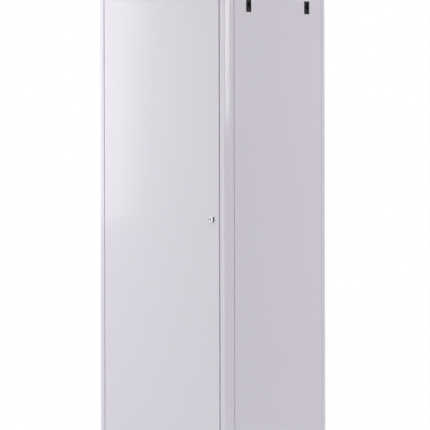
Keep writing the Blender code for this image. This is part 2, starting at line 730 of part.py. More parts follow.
def door_stiffener():
    """Hat channel down the middle of the door, its flanges against the skin."""
    half = SHEET / 2
    skin = DOOR_FACE + SHEET + FIT + half
    crown = DOOR_FACE + DOOR_DEPTH - SHEET - half
    inner, outer = STIFFENER_WIDTH / 2, STIFFENER_WIDTH / 2 + STIFFENER_FLANGE
    path = [(-outer, skin), (-inner, skin), (-inner, crown), (inner, crown), (inner, skin), (outer, skin)]
    path = [(DOOR_MIDDLE + x, y) for x, y in path]
    clear = VENT_INSET + VENT_ROWS * VENT_PITCH / 2 + 2 * VENT_PITCH
    extruded("door_stiffener", [folded(path)], DOOR_BOTTOM + clear, DOOR_TOP - clear, "Z", STEEL)


# ---------------------------------------------------------------- lock
def lock_housing():
    """Chromed head and barrel of the lock, with the bore for the plug."""
    head, edge = -LOCK_PROUD, LOCK_HEAD_EDGE
    bore = PLUG_RADIUS + FIT / 2
    end = CAM_FACE - DOOR_FACE - 2 * FIT
    profile = [(bore, end), (BARREL_RADIUS, end), (BARREL_RADIUS, -FIT), (LOCK_HEAD_RADIUS, -FIT),
               (LOCK_HEAD_RADIUS, head + edge), (LOCK_HEAD_RADIUS - edge / 3, head + edge / 3),
               (LOCK_HEAD_RADIUS - edge, head), (bore, head), (bore, end)]
    turned("lock_housing", profile, "Y", (LOCK_X, DOOR_FACE, LOCK_HEIGHT), CHROME)


def lock_plug():
    """Turning plug with the keyway at the front and a square tang behind it."""
    face, end = -LOCK_PROUD + 2 * FIT, CAM_FACE - DOOR_FACE - 2 * FIT
    profile = [(0, end), (PLUG_RADIUS, end), (PLUG_RADIUS, face), (0, face)]
    plug = turned("lock_plug", profile, "Y", (LOCK_X, DOOR_FACE, LOCK_HEIGHT), CHROME)
    half = TANG / 2
    low = (LOCK_X - half, DOOR_FACE + end - SHEET, LOCK_HEIGHT - half)
    high = (LOCK_X + half, CAM_FACE + CAM_THICKNESS, LOCK_HEIGHT + half)
    boolean(plug, box("tang", low, high), "UNION")
    half_width, half_length = KEYWAY_WIDTH / 2, KEYWAY_LENGTH / 2
    low = (LOCK_X - half_width, DOOR_FACE + face - SHEET, LOCK_HEIGHT - half_length)
    high = (LOCK_X + half_width, DOOR_FACE + face + KEYWAY_DEPTH, LOCK_HEIGHT + half_length)
    boolean(plug, box("keyway", low, high))
    radius, past = CAM_SCREW_RADIUS + FIT, SHEET
    bottom = -CAM_SCREW_REACH - 2 * FIT
    profile = [(0, past), (radius, past), (radius, bottom), (0, bottom)]
    place = (LOCK_X, CAM_FACE + CAM_THICKNESS, LOCK_HEIGHT)
    boolean(plug, turned("cam_screw_hole", profile, "Y", place, None, 16))


def lock_cam():
    """Flat cam that hangs down when the lock is open and turns to the post when it is locked."""
    half, steps = CAM_WIDTH / 2, 8
    loop = []
    for k in range(steps + 1):
        angle = math.pi * k / steps
        loop.append((LOCK_X + half * math.cos(angle), LOCK_HEIGHT + half * math.sin(angle)))
    corner = CAM_CORNER
    tip = LOCK_HEIGHT - CAM_LENGTH
    loop += [(LOCK_X - half, tip + corner), (LOCK_X - half + corner, tip)]
    loop += [(LOCK_X + half - corner, tip), (LOCK_X + half, tip + corner)]
    side = TANG / 2 + FIT
    hole = [(LOCK_X + a * side, LOCK_HEIGHT + b * side) for a, b in ((1, 1), (-1, 1), (-1, -1), (1, -1))]
    extruded("lock_cam", [loop, hole], CAM_FACE, CAM_FACE + CAM_THICKNESS, "Y", ZINC)


def hexagon(width):
    """Outline of a hexagon around the lock's axis, measured across its flats."""
    radius = width / math.sqrt(3)
    turns = [math.pi * k / 3 for k in range(6)]
    return [(LOCK_X + radius * math.cos(a), LOCK_HEIGHT + radius * math.sin(a)) for a in turns]


def circle(radius, steps=STEPS):
    turns = [math.tau * k / steps for k in range(steps)]
    return [(LOCK_X + radius * math.cos(a), LOCK_HEIGHT + radius * math.sin(a)) for a in turns]


def lock_nut():
    """Nut that clamps the lock to the door skin."""
    low = DOOR_FACE + SHEET + FIT
    loops = [hexagon(LOCK_NUT_WIDTH), circle(BARREL_RADIUS + FIT)]
    extruded("lock_nut", loops, low, low + LOCK_NUT_THICKNESS, "Y", ZINC)


def cam_screw():
    """Hexagon screw that holds the cam on the plug."""
    seat = CAM_FACE + CAM_THICKNESS + FIT
    head = extruded("cam_screw", [hexagon(CAM_SCREW_WIDTH)], seat, seat + CAM_SCREW_HEAD, "Y", ZINC)
    radius, tip = CAM_SCREW_RADIUS, -CAM_SCREW_REACH
    profile = [(0, SHEET), (radius, SHEET), (radius, tip), (0, tip)]
    shank = turned("cam_screw_shank", profile, "Y", (LOCK_X, seat, LOCK_HEIGHT), None, 16)
    boolean(head, shank, "UNION")


# ---------------------------------------------------------------- the whole locker
def build():
    for side, word in ((-1, "left"), (1, "right")):
        front_post(side, word)
        rear_post(side, word)
        panel = side_panel(side, word)
        door_stop(side, word)
        shelf_bracket(side, word)
        rail_socket(side, word, panel)
        for end, y in screw_places().items():
            rail_screw(side, word, end, y)
    back_panel()
    top_panel()
    bottom_panel()
    top_rail()
    bottom_stop()
    feet()
    door_buffer("upper", DOOR_TOP - BUFFER_INSETS["upper"])
    door_buffer("lower", DOOR_BOTTOM + BUFFER_INSETS["lower"])
    hat_shelf()
    coat_rail()
    coat_hooks()
    for word, up, sheets in (("top", 1, 2), ("bottom", -1, 1)):
        hinge_pin(word, up, sheets)
        hinge_bush(word, up)
    hinge_washer()
    door_panel()
    door_stiffener()
    lock_housing()
    lock_plug()
    lock_cam()
    lock_nut()
    cam_screw()


clear_scene()
LOCKER = new_collection("locker_cabinet")
CUTTERS = new_collection("cutters")
STEEL = painted("powder_coated_steel", (0.74, 0.72, 0.77), 0.42)
BLACK = painted("black_plastic", (0.02, 0.02, 0.022), 0.5)
CHROME = painted("chrome", (0.78, 0.78, 0.80), 0.12, 1.0)
ZINC = painted("zinc_plated_steel", (0.62, 0.62, 0.63), 0.35, 1.0)
NYLON = painted("white_nylon", (0.85, 0.85, 0.82), 0.5)
RUBBER = painted("black_rubber", (0.03, 0.03, 0.03), 0.8)
build()
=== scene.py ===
"""Steel clothes locker: finished sheet metal, fittings, finishes and studio, laid over the locker's frame.

Run as a script, it makes everything. The sizes and colours that a user would change are properties, each
group of like pieces is an operator, and a panel in the 3D view's sidebar lists them. Metres, +Z up, the door
faces -Y.
"""

import json
import math

import bmesh
import bpy
from bpy.props import FloatProperty, FloatVectorProperty, IntProperty, PointerProperty
from bpy.types import Operator, Panel, PropertyGroup
from mathutils import Matrix, Vector


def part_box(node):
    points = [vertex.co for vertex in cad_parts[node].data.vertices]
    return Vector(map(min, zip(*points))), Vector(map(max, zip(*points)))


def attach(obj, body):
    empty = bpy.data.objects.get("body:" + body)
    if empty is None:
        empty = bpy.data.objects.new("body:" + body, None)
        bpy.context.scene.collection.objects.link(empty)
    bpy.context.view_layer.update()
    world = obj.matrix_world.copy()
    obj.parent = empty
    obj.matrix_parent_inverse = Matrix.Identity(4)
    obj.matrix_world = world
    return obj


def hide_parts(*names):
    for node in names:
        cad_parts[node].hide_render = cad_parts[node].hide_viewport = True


bl_info = {
    "name": "Steel Clothes Locker",
    "version": (1, 0, 0),
    "blender": (4, 5, 0),
    "location": "3D View > Sidebar > Locker",
    "description": "Makes the finished pieces of a steel clothes locker, their finishes and a studio",
    "category": "Add Mesh",
}

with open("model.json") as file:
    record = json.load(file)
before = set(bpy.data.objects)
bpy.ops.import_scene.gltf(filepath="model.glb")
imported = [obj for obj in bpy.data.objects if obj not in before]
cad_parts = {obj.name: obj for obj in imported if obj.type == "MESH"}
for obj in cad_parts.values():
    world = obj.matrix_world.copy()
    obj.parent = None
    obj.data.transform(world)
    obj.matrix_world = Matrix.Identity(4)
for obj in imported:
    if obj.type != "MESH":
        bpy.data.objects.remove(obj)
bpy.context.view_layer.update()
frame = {"nodes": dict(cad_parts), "record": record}

SPAN = {name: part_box(name) for name in frame["nodes"]}
SLOT_OF = {part["node"]: part["material_slot"] for part in frame["record"]["subparts"]}
BODIES = frame["record"]["behaviour"]["bodies"]
BODY_OF = {node: body for body, nodes in BODIES.items() for node in nodes}
SIDES = ((-1, "left"), (1, "right"))
ENDS = ("front", "rear")

FACE = SPAN["door_panel"][0].y  # the door's face
DOOR_LOW, DOOR_HIGH = SPAN["door_panel"]
DOOR_MIDDLE = (DOOR_LOW.x + DOOR_HIGH.x) / 2


def middle(node):
    """The middle of a node's box."""
    low, high = SPAN[node]
    return (low + high) / 2


def radius_of(node):
    """Half the width of a node's box."""
    low, high = SPAN[node]
    return (high.x - low.x) / 2


LOCK_AXIS = middle("lock_housing")
HINGE_AXIS = middle("hinge_pin_top")
HEAD_RADIUS = radius_of("lock_housing")
PLUG_RADIUS = radius_of("lock_plug")
BARREL_RADIUS = 0.008
BUSH_RADIUS = 0.0045
PIN_RADIUS = 0.0025
PIN_HOLE_RADIUS = 0.0028
HOLE_REACH = 0.01  # of the cutter of a screw's hole, to each side
CUTTER_REACH = 0.002  # of a cutter past the face that it opens

WINDOW_PLAY = 0.0003  # round a coat hook's body, in its window
HOOK_LAP = 0.0026  # of a hook's flange over the edge of its window
HOOK_FLANGE = HOOK_LAP + WINDOW_PLAY
HOOK_LOW, HOOK_HIGH = SPAN["coat_hook_right_front"]
HOOK_CENTRE_Z = (HOOK_LOW.z + HOOK_HIGH.z) / 2
BODY_HALF_WIDTH = (HOOK_HIGH.y - HOOK_LOW.y) / 2 - HOOK_FLANGE
BODY_HALF_HEIGHT = (HOOK_HIGH.z - HOOK_LOW.z) / 2 - HOOK_FLANGE
WINDOW_HALF_WIDTH = BODY_HALF_WIDTH + WINDOW_PLAY
WINDOW_HALF_HEIGHT = BODY_HALF_HEIGHT + WINDOW_PLAY


# ---------------------------------------------------------------- sizes and colours
def length(name, description, default, low, high, precision=4):
    """A length that a user can set."""
    return FloatProperty(name=name, description=description, default=default, min=low, max=high,
                         unit="LENGTH", precision=precision)


def colour(name, description, default):
    """A colour that a user can set."""
    return FloatVectorProperty(name=name, description=description, default=default, min=0.0, max=1.0,
                               size=3, subtype="COLOR")


class LockerSheet(PropertyGroup):
    """Sizes of the folded sheet metal."""

    thickness: length("Thickness", "Thickness of the steel sheet", 0.001, 0.0005, 0.003)
    bend: length("Bend", "Radius on the inside of a fold", 0.0008, 0.0002, 0.005)
    bend_steps: IntProperty(name="Bend steps", description="Facets in a fold of a quarter turn",
                            default=7, min=2, max=16)
    edge: length("Cut edges", "Rounding that the coating gives to a cut edge", 0.00022, 0.00005, 0.0005, 5)
    play: length("Play", "Gap between pieces that touch", 0.0003, 0.0001, 0.001)
    crease: length("Post crease", "Crease on a front post's side, behind its corner", 0.022, 0.005, 0.04)
    taper: length("Post taper", "How far a front post's corner stands back", 0.0008, 0.0, 0.003)
    panel_return: length("Panel return", "Second fold at the front of a side panel", 0.014, 0.005, 0.03)
    panel_flange: length("Panel flange", "Fold at the rear of a side panel", 0.014, 0.005, 0.03)
    shelf_return: length("Shelf return", "Return under the front of the hat shelf", 0.008, 0.002, 0.02)


class LockerDoor(PropertyGroup):
    """Sizes of the door and its louvres."""

    lip: length("Lip", "Width of the lip round the door's back", 0.014, 0.005, 0.03)
    stiffener: length("Stiffener", "Width of the channel inside the door", 0.060, 0.02, 0.2)
    louvre_length: length("Louvre length", "Length of a louvre", 0.062, 0.02, 0.2)
    louvre_height: length("Louvre height", "Height of a louvre's hood", 0.0065, 0.003, 0.02)
    louvre_rise: length("Louvre rise", "How far a hood stands out of the door", 0.0032, 0.001, 0.008)
    louvre_pitch: length("Row pitch", "Distance between rows of louvres", 0.012, 0.006, 0.05)
    column_pitch: length("Column pitch", "Distance between columns of louvres", 0.076, 0.03, 0.3)
    louvre_inset: length("Louvre inset", "Middle of the louvres from the door's end", 0.110, 0.05, 0.5)
    rows: IntProperty(name="Rows", description="Rows of louvres in a group", default=5, min=1, max=12)
    columns: IntProperty(name="Columns", description="Columns of louvres in a group",
                         default=2, min=1, max=4)


class LockerLock(PropertyGroup):
    """Sizes of the cam lock."""

    rim: length("Rim", "Width of the sloping rim", 0.0025, 0.0003, 0.004)
    crown: length("Crown", "Height of the sloping rim", 0.0034, 0.0003, 0.0048)
    dish: length("Dish", "Depth of the plug below the head's face", 0.0009, 0.0, 0.003)
    key_width: length("Keyway width", "Width of the keyway", 0.0017, 0.0008, 0.004)
    key_length: length("Keyway length", "Length of the keyway", 0.0082, 0.004, 0.012)
    tang: length("Tang", "Side of the square that drives the cam", 0.007, 0.003, 0.012)


class LockerFinish(PropertyGroup):
    """Colours and textures."""

    paint: colour("Powder coat", "Colour of the powder coat", (0.760, 0.728, 0.796))
    paint_gloss: FloatProperty(name="Powder coat roughness", description="Roughness of the powder coat",
                               default=0.40, min=0.1, max=0.9, subtype="FACTOR")
    plastic: colour("Plastic", "Colour of the mouldings", (0.006, 0.0055, 0.0068))
    chrome: colour("Chrome", "Colour of the chrome plate", (0.80, 0.80, 0.82))
    zinc: colour("Zinc", "Colour of the zinc plate", (0.60, 0.61, 0.63))
    nylon: colour("Nylon", "Colour of the bushes", (0.78, 0.77, 0.72))
    rubber: colour("Rubber", "Colour of the buffers", (0.022, 0.022, 0.022))
    peel: length("Orange peel", "Height of the powder coat's slow ripple", 0.00004, 0.0, 0.0005, 6)
    grain: length("Grain", "Height of the powder coat's fine grain", 0.000009, 0.0, 0.0002, 6)
    buckle: length("Buckle", "Height of the unevenness of a large sheet", 0.00030, 0.0, 0.002, 5)


class LockerStudio(PropertyGroup):
    """Camera, floor and lights."""

    azimuth: FloatProperty(name="Azimuth", description="The camera's direction, from the front to the right",
                           default=math.radians(34.0177), subtype="ANGLE")
    distance: FloatProperty(name="Distance", description="From the camera to the locker's middle",
                            default=20.0, min=2.0, unit="LENGTH")
    height: FloatProperty(name="Height", description="The camera's height over the floor",
                          default=0.9272, unit="LENGTH")
    aside: FloatProperty(name="Aside", description="How far the camera stands to the right of its aim",
                         default=0.0069, unit="LENGTH", precision=4)
    roll: FloatProperty(name="Roll", description="How far the camera leans", default=math.radians(-0.13),
                        subtype="ANGLE")
    lens: FloatProperty(name="Lens", description="Focal length in millimetres", default=601.2, min=10.0)
    floor: FloatProperty(name="Floor", description="Radius of the floor",
                         default=6.5, min=1.0, unit="LENGTH")
    key: FloatProperty(name="Key", description="Power of the light in front and to the left", default=12.7,
                       unit="POWER")
    fill: FloatProperty(name="Fill", description="Power of the light beside and behind", default=11.4,
                        unit="POWER")
    glint: FloatProperty(name="Glint", description="Power of the small high light at the corner",
                         default=1.1, unit="POWER")
    horizon: FloatProperty(name="Horizon", description="Light that comes from the studio's walls",
                           default=0.0, min=0.0, max=2.0)
    sky: FloatProperty(name="Sky", description="Light that comes from the studio's ceiling", default=1.26,
                       min=0.0, max=3.0)
    walls: FloatProperty(name="Walls", description="Brightness of the walls that gloss reflects",
                         default=1.2, min=0.0, max=2.0)
    shade: FloatProperty(name="Shade", description="Darkness of the walls on the right", default=0.98,
                         min=0.0, max=1.0, subtype="FACTOR")


# ---------------------------------------------------------------- shapes
PLACE = {
    "X": lambda u, v, w: (w, u, v),  # outline in Y and Z
    "Y": lambda u, v, w: (u, w, v),  # outline in X and Z
    "Z": lambda u, v, w: (u, v, w),  # outline in X and Y
}


def object_of(name, shape):
    """An object from a bmesh, with smooth faces."""
    for face in shape.faces:
        face.smooth = True
    mesh = bpy.data.meshes.new(name)
    shape.to_mesh(mesh)
    shape.free()
    obj = bpy.data.objects.new(name, mesh)
    bpy.context.scene.collection.objects.link(obj)
    return obj


def fillet(before, here, after, radius, steps):
    """Points along the fillet of one corner of a line."""
    inward, outward = (here - before).normalized(), (after - here).normalized()
    turn = inward.angle_signed(outward)  # positive clockwise
    start = here - inward * (radius * math.tan(abs(turn) / 2))
    centre = start + Vector((-inward.y, inward.x)) * (radius if turn < 0 else -radius)
    return [centre + Matrix.Rotation(-turn * k / steps, 2) @ (start - centre) for k in range(steps + 1)]


def rounded_loop(corners, radius, steps=5):
    """A closed outline with its corners rounded."""
    points = [Vector(c) for c in corners]
    count = len(points)
    loop = []
    for i in range(count):
        loop += fillet(points[i - 1], points[i], points[(i + 1) % count], radius, steps)
    return loop


def strip(name, line, low, high, axis, closed=False):
    """A surface that follows a line and runs from low to high along an axis."""
    shape = bmesh.new()
    ends = [[shape.verts.new(PLACE[axis](p.x, p.y, w)) for p in line] for w in (low, high)]
    count = len(line)
    for i in range(count if closed else count - 1):
        j = (i + 1) % count
        shape.faces.new((ends[0][i], ends[0][j], ends[1][j], ends[1][i]))
    bmesh.ops.recalc_face_normals(shape, faces=shape.faces)
    return object_of(name, shape)


def thicken(obj, thickness, offset):
    """Gives a surface a thickness: inward at offset -1, to both sides at 0."""
    modifier = obj.modifiers.new("Sheet", "SOLIDIFY")
    modifier.thickness = thickness
    modifier.offset = offset
    modifier.use_even_offset = True
    return obj


def folded(name, path, low, high, axis):
    """A folded sheet, from the line along the middle of its thickness."""
    sheet = bpy.context.scene.locker_sheet
    path = [Vector(p) for p in path]
    radius = sheet.bend + sheet.thickness / 2
    line = [path[0]]
    for before, here, after in zip(path, path[1:], path[2:]):
        line += fillet(before, here, after, radius, sheet.bend_steps)
    line.append(path[-1])
    return thicken(strip(name, line, low, high, axis), sheet.thickness, 0)


def prism(name, loops, low, high, axis, edge=0.0):
    """A solid with a flat outline as its section. Later loops are holes, cut from it."""
    shape = bmesh.new()
    face = shape.faces.new([shape.verts.new(PLACE[axis](p[0], p[1], low)) for p in loops[0]])
    moved = bmesh.ops.extrude_face_region(shape, geom=[face])["geom"]
    shift = Vector(PLACE[axis](0, 0, high - low))
    bmesh.ops.translate(shape, vec=shift, verts=[v for v in moved if isinstance(v, bmesh.types.BMVert)])
    bmesh.ops.recalc_face_normals(shape, faces=shape.faces)
    obj = object_of(name, shape)
    for i, loop in enumerate(loops[1:]):
        past = (high - low) / 4
        cut(obj, prism(f"{name}_hole_{i}", [loop], low - past, high + past, axis))
    if edge:
        round_edges(obj, edge)
    return obj


def cuboid(low, high):
    """A bmesh that fills the box between two corners."""
    low, high = Vector(low), Vector(high)
    shape = bmesh.new()
    bmesh.ops.create_cube(shape, size=1.0)
    bmesh.ops.scale(shape, vec=high - low, verts=shape.verts)
    bmesh.ops.translate(shape, vec=(low + high) / 2, verts=shape.verts)
    return shape


def block(name, low, high, edge=0.0, segments=2):
    """A block between two corners, with rounded edges."""
    shape = cuboid(low, high)
    if edge:
        bmesh.ops.bevel(shape, geom=shape.edges, offset=edge, segments=segments, affect="EDGES", profile=0.5)
    return object_of(name, shape)


def tray(name, low, high, open_side, lip=0.0):
    """A folded tray: a block without one side, its rim turned in by a lip."""
    sheet = bpy.context.scene.locker_sheet
    shape = cuboid(low, high)
    mouth = max(shape.faces, key=lambda face: face.normal.dot(Vector(open_side)))
    if lip:
        bmesh.ops.inset_region(shape, faces=[mouth], thickness=lip, use_even_offset=True)
    bmesh.ops.delete(shape, geom=[mouth], context="FACES")
    obj = object_of(name, shape)
    folds = obj.modifiers.new("Folds", "BEVEL")
    folds.width = sheet.bend + sheet.thickness
    folds.segments = sheet.bend_steps
    folds.limit_method = "ANGLE"
    return thicken(obj, sheet.thickness, -1)


def lathe(name, profile, axis, centre, steps=56, edge=0.0, segments=3):
    """A turned solid. The profile gives (radius, distance along the axis), going down its outer side."""
    mesh = bpy.data.meshes.new(name)
    mesh.from_pydata([(r, 0, z) for r, z in profile], [(i, i + 1) for i in range(len(profile) - 1)], [])
    guide = bpy.data.objects.new(name, mesh)
    bpy.context.scene.collection.objects.link(guide)
    screw = guide.modifiers.new("Turn", "SCREW")
    screw.steps = screw.render_steps = steps
    screw.use_merge_vertices = True
    screw.merge_threshold = 1e-6
    settle(guide)
    shape = bmesh.new()
    shape.from_mesh(guide.data)
    bmesh.ops.remove_doubles(shape, verts=shape.verts, dist=1e-6)
    bmesh.ops.recalc_face_normals(shape, faces=shape.faces)
    turn = {"X": Matrix.Rotation(math.pi / 2, 4, "Y"), "Y": Matrix.Rotation(-math.pi / 2, 4, "X")}
    bmesh.ops.transform(shape, matrix=Matrix.Translation(centre) @ turn.get(axis, Matrix.Identity(4)),
                        verts=shape.verts)
    bpy.data.objects.remove(guide)
    obj = object_of(name, shape)
    if edge:
        round_edges(obj, edge, segments, 35)
    return obj


def rod(name, radius, first, last, axis, centre, steps):
    """A round rod between two distances along its axis."""
    return lathe(name, [(0, first), (radius, first), (radius, last), (0, last)], axis, centre, steps)


def ring(radius, bore, first, last):
    """The profile of a tube between two distances along its axis."""
    return [(radius, first), (radius, last), (bore, last), (bore, first), (radius, first)]


def round_edges(obj, width, segments=2, angle=50):
    """Rounds the edges of an object that turn by more than an angle in degrees."""
    modifier = obj.modifiers.new("Edges", "BEVEL")
    modifier.width = width
    modifier.segments = segments
    modifier.limit_method = "ANGLE"
    modifier.angle_limit = math.radians(angle)
    return obj


def cut(obj, other, operation="DIFFERENCE"):
    """Cuts another solid from an object, or joins the two."""
    modifier = obj.modifiers.new(operation.title(), "BOOLEAN")
    modifier.operation = operation
    modifier.solver = "EXACT"
    modifier.object = other
    return obj


def settle(obj):
    """Replaces an object's mesh by what its modifiers make of it, and removes its cutters."""
    bpy.context.view_layer.update()
    graph = bpy.context.evaluated_depsgraph_get()
    made = obj.evaluated_get(graph)
    mesh = bpy.data.meshes.new_from_object(made, preserve_all_data_layers=True, depsgraph=graph)
    others = [m.object for m in obj.modifiers if m.type == "BOOLEAN"]
    obj.modifiers.clear()
    obj.data = mesh
    for other in others:
        bpy.data.objects.remove(other)
    return obj


def place(obj, *nodes, beside=None):
    """Settles a piece, gives it its finish and lets it ride on its body. It stands for the nodes, if any."""
    node = beside or nodes[0]
    modifier = obj.modifiers.new("Flat faces stay flat", "WEIGHTED_NORMAL")
    modifier.keep_sharp = True
    settle(obj)
    obj.data.materials.clear()
    obj.data.materials.append(finish(SLOT_OF[node]))
    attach(obj, BODY_OF[node])
    if nodes:
        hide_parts(*nodes)
    return obj


def place_sheet(obj, node):
    """Places a sheet-metal piece, with its cut edges rounded by the coating."""
    return place(round_edges(obj, bpy.context.scene.locker_sheet.edge), node)


# ---------------------------------------------------------------- finishes
class Nodes:
    """Short calls for building the node tree of a material or of the surroundings."""

    def __init__(self, owner):
        owner.use_nodes = True
        self.tree = owner.node_tree
        self.shader = self.tree.nodes.get("Principled BSDF")
        self.coordinates = self.add("ShaderNodeTexCoord")
        self.place = self.coordinates.outputs["Object"]
        self.normal = None

    def add(self, kind, **values):
        node = self.tree.nodes.new(kind)
        for key, value in values.items():
            if hasattr(node, key):
                setattr(node, key, value)
            else:
                node.inputs[key.replace("_", " ")].default_value = value
        return node

    def link(self, source, node, socket):
        self.tree.links.new(source, node.inputs[socket])
        return node

    def maths(self, operation, *sources, kind="Math", output=0):
        """A maths node on sockets and numbers."""
        node = self.add("ShaderNode" + kind, operation=operation)
        for socket, source in zip(node.inputs, sources):
            if isinstance(source, bpy.types.NodeSocket):
                self.tree.links.new(source, socket)
            else:
                socket.default_value = source
        return node.outputs[output]

    def distance(self, vector):
        """The length of a vector."""
        return self.maths("LENGTH", vector, kind="VectorMath", output="Value")

    def noise(self, size, detail=2.0):
        """A noise whose features are about `size` metres across."""
        node = self.add("ShaderNodeTexNoise", Scale=1 / size, Detail=detail, Roughness=0.5)
        self.link(self.place, node, "Vector")
        return node.outputs["Fac"]

    def cells(self, size):
        node = self.add("ShaderNodeTexVoronoi", Scale=1 / size)
        self.link(self.place, node, "Vector")
        return node.outputs["Distance"]

    def spread(self, source, low, high, start=0.0, end=1.0):
        """Maps a value from start..end to low..high."""
        node = self.add("ShaderNodeMapRange")
        for socket, value in (("From Min", start), ("From Max", end), ("To Min", low), ("To Max", high)):
            node.inputs[socket].default_value = value
        self.link(source, node, "Value")
        return node.outputs["Result"]

    def mixed(self, factor, first, second):
        """A colour between two, by a factor."""
        node = self.add("ShaderNodeMix", data_type="RGBA")
        for socket in node.inputs:
            if socket.type == "RGBA" and socket.name == "A":
                socket.default_value = (*first[:3], 1)
            if socket.type == "RGBA" and socket.name == "B":
                socket.default_value = (*second[:3], 1)
        self.tree.links.new(factor, node.inputs["Factor"])
        return next(s for s in node.outputs if s.type == "RGBA")

    def scaled(self, colour, factor):
        """A colour times a value."""
        node = self.add("ShaderNodeVectorMath", operation="SCALE")
        self.tree.links.new(colour, node.inputs[0])
        self.tree.links.new(factor, node.inputs["Scale"])
        return node.outputs["Vector"]

    def bumps(self, *layers):
        """Bump layers, each a (height, depth in metres) pair, one on the other."""
        normal = None
        for height, depth in layers:
            node = self.add("ShaderNodeBump", Strength=1.0, Distance=depth)
            self.link(height, node, "Height")
            if normal:
                self.link(normal, node, "Normal")
            normal = node.outputs["Normal"]
        self.link(normal, self.shader, "Normal")
        self.normal = normal

    def surface(self, colour, roughness):
        self.link(colour, self.shader, "Base Color")
        self.link(roughness, self.shader, "Roughness")


def shade(colour, factor):
    return tuple(min(1.0, c * factor) for c in colour)


def powder_coat(nodes, values):
    """Semi-matt powder coat: a slow ripple, a fine grain, and the unevenness of the sheet."""
    tone = nodes.mixed(nodes.noise(0.35, 3.0), shade(values.paint, 0.988), shade(values.paint, 1.012))
    speck = nodes.spread(nodes.noise(0.0009, 1.0), 0.985, 1.015, 0.3, 0.7)
    gloss = values.paint_gloss
    rough = nodes.spread(nodes.noise(0.004, 2.0), gloss - 0.04, gloss + 0.04)
    nodes.surface(nodes.scaled(tone, speck), rough)
    nodes.bumps((nodes.noise(0.24, 1.0), values.buckle), (nodes.noise(0.006, 2.0), values.peel),
                (nodes.noise(0.0012, 2.0), values.grain))
    nodes.link(nodes.normal, nodes.shader, "Coat Normal")
    nodes.shader.inputs["Specular IOR Level"].default_value = 0.2
    nodes.shader.inputs["Coat Weight"].default_value = 0.8
    nodes.shader.inputs["Coat Roughness"].default_value = 0.13


def black_plastic(nodes, values):
    """Moulded plastic with a fine spark-eroded grain."""
    tone = nodes.mixed(nodes.noise(0.01, 3.0), shade(values.plastic, 0.8), shade(values.plastic, 1.5))
    nodes.surface(tone, nodes.spread(nodes.noise(0.0009, 2.0), 0.38, 0.55))
    nodes.bumps((nodes.noise(0.0006, 2.0), 0.000012),)
    nodes.shader.inputs["Specular IOR Level"].default_value = 0.25


def chrome(nodes, values):
    """Chrome plate over faint turning marks round the lock's axis."""
    axis, pitch = (LOCK_AXIS.x, 0, LOCK_AXIS.z), 0.00035
    offset = nodes.maths("SUBTRACT", nodes.place, axis, kind="VectorMath")
    radius = nodes.distance(nodes.maths("MULTIPLY", offset, (1, 0, 1), kind="VectorMath"))
    rings = nodes.maths("SINE", nodes.maths("MULTIPLY", radius, math.tau / pitch))
    tone = nodes.mixed(nodes.noise(0.006, 2.0), shade(values.chrome, 0.94), values.chrome)
    nodes.surface(tone, nodes.spread(nodes.noise(0.003, 3.0), 0.07, 0.17))
    nodes.bumps((rings, 0.0000012), (nodes.noise(0.002, 2.0), 0.000003))
    nodes.shader.inputs["Metallic"].default_value = 1.0


def zinc(nodes, values):
    """Bright zinc plate with a faint spangle."""
    tone = nodes.mixed(nodes.cells(0.004), shade(values.zinc, 0.86), shade(values.zinc, 1.08))
    nodes.surface(tone, nodes.spread(nodes.noise(0.003, 3.0), 0.26, 0.44))
    nodes.bumps((nodes.noise(0.0008, 2.0), 0.000006),)
    nodes.shader.inputs["Metallic"].default_value = 1.0


def nylon(nodes, values):
    """Natural nylon."""
    tone = nodes.mixed(nodes.noise(0.004, 2.0), shade(values.nylon, 0.94), values.nylon)
    nodes.surface(tone, nodes.spread(nodes.noise(0.001, 2.0), 0.4, 0.52))
    nodes.bumps((nodes.noise(0.0007, 2.0), 0.000006),)
    nodes.shader.inputs["Subsurface Weight"].default_value = 0.15
    nodes.shader.inputs["Subsurface Radius"].default_value = (0.002, 0.002, 0.0015)


def rubber(nodes, values):
    """Matt moulded rubber."""
    tone = nodes.mixed(nodes.noise(0.003, 3.0), shade(values.rubber, 0.8), shade(values.rubber, 1.4))
    nodes.surface(tone, nodes.spread(nodes.noise(0.001, 2.0), 0.7, 0.86))
    nodes.bumps((nodes.noise(0.0005, 2.0), 0.00001),)


FINISHES = {
    "powder_coat": powder_coat,
    "black_plastic": black_plastic,
    "chrome": chrome,
    "zinc": zinc,
    "nylon": nylon,
    "rubber": rubber,
}


def finish(slot):
    """The material of a slot, made the first time that it is asked for."""
    found = bpy.data.materials.get("locker_" + slot)
    if found is None:
        found = bpy.data.materials.new("locker_" + slot)
        FINISHES[slot](Nodes(found), bpy.context.scene.locker_finish)
    return found


# ---------------------------------------------------------------- pieces
class LOCKER_OT_posts(Operator):
    """Make the four closed posts"""

    bl_idname = "locker.posts"
    bl_label = "Posts"

    def execute(self, context):
        sheet = context.scene.locker_sheet
        for side, word in SIDES:
            for end in ENDS:
                node = f"{end}_post_{word}"
                low, high = SPAN[node]
                inner, outer = sorted((low.x, high.x), key=abs)
                corners = [(inner, low.y), (outer, low.y), (outer, high.y), (inner, high.y)]
                if end == "front":
                    corners[1:2] = [(outer - side * sheet.taper, low.y), (outer, low.y + sheet.crease)]
                line = rounded_loop(corners, sheet.bend + sheet.thickness, sheet.bend_steps)
                post = strip(node + "_sheet", line, low.z, high.z, "Z", closed=True)
                place_sheet(thicken(post, sheet.thickness, -1), node)
        return {"FINISHED"}


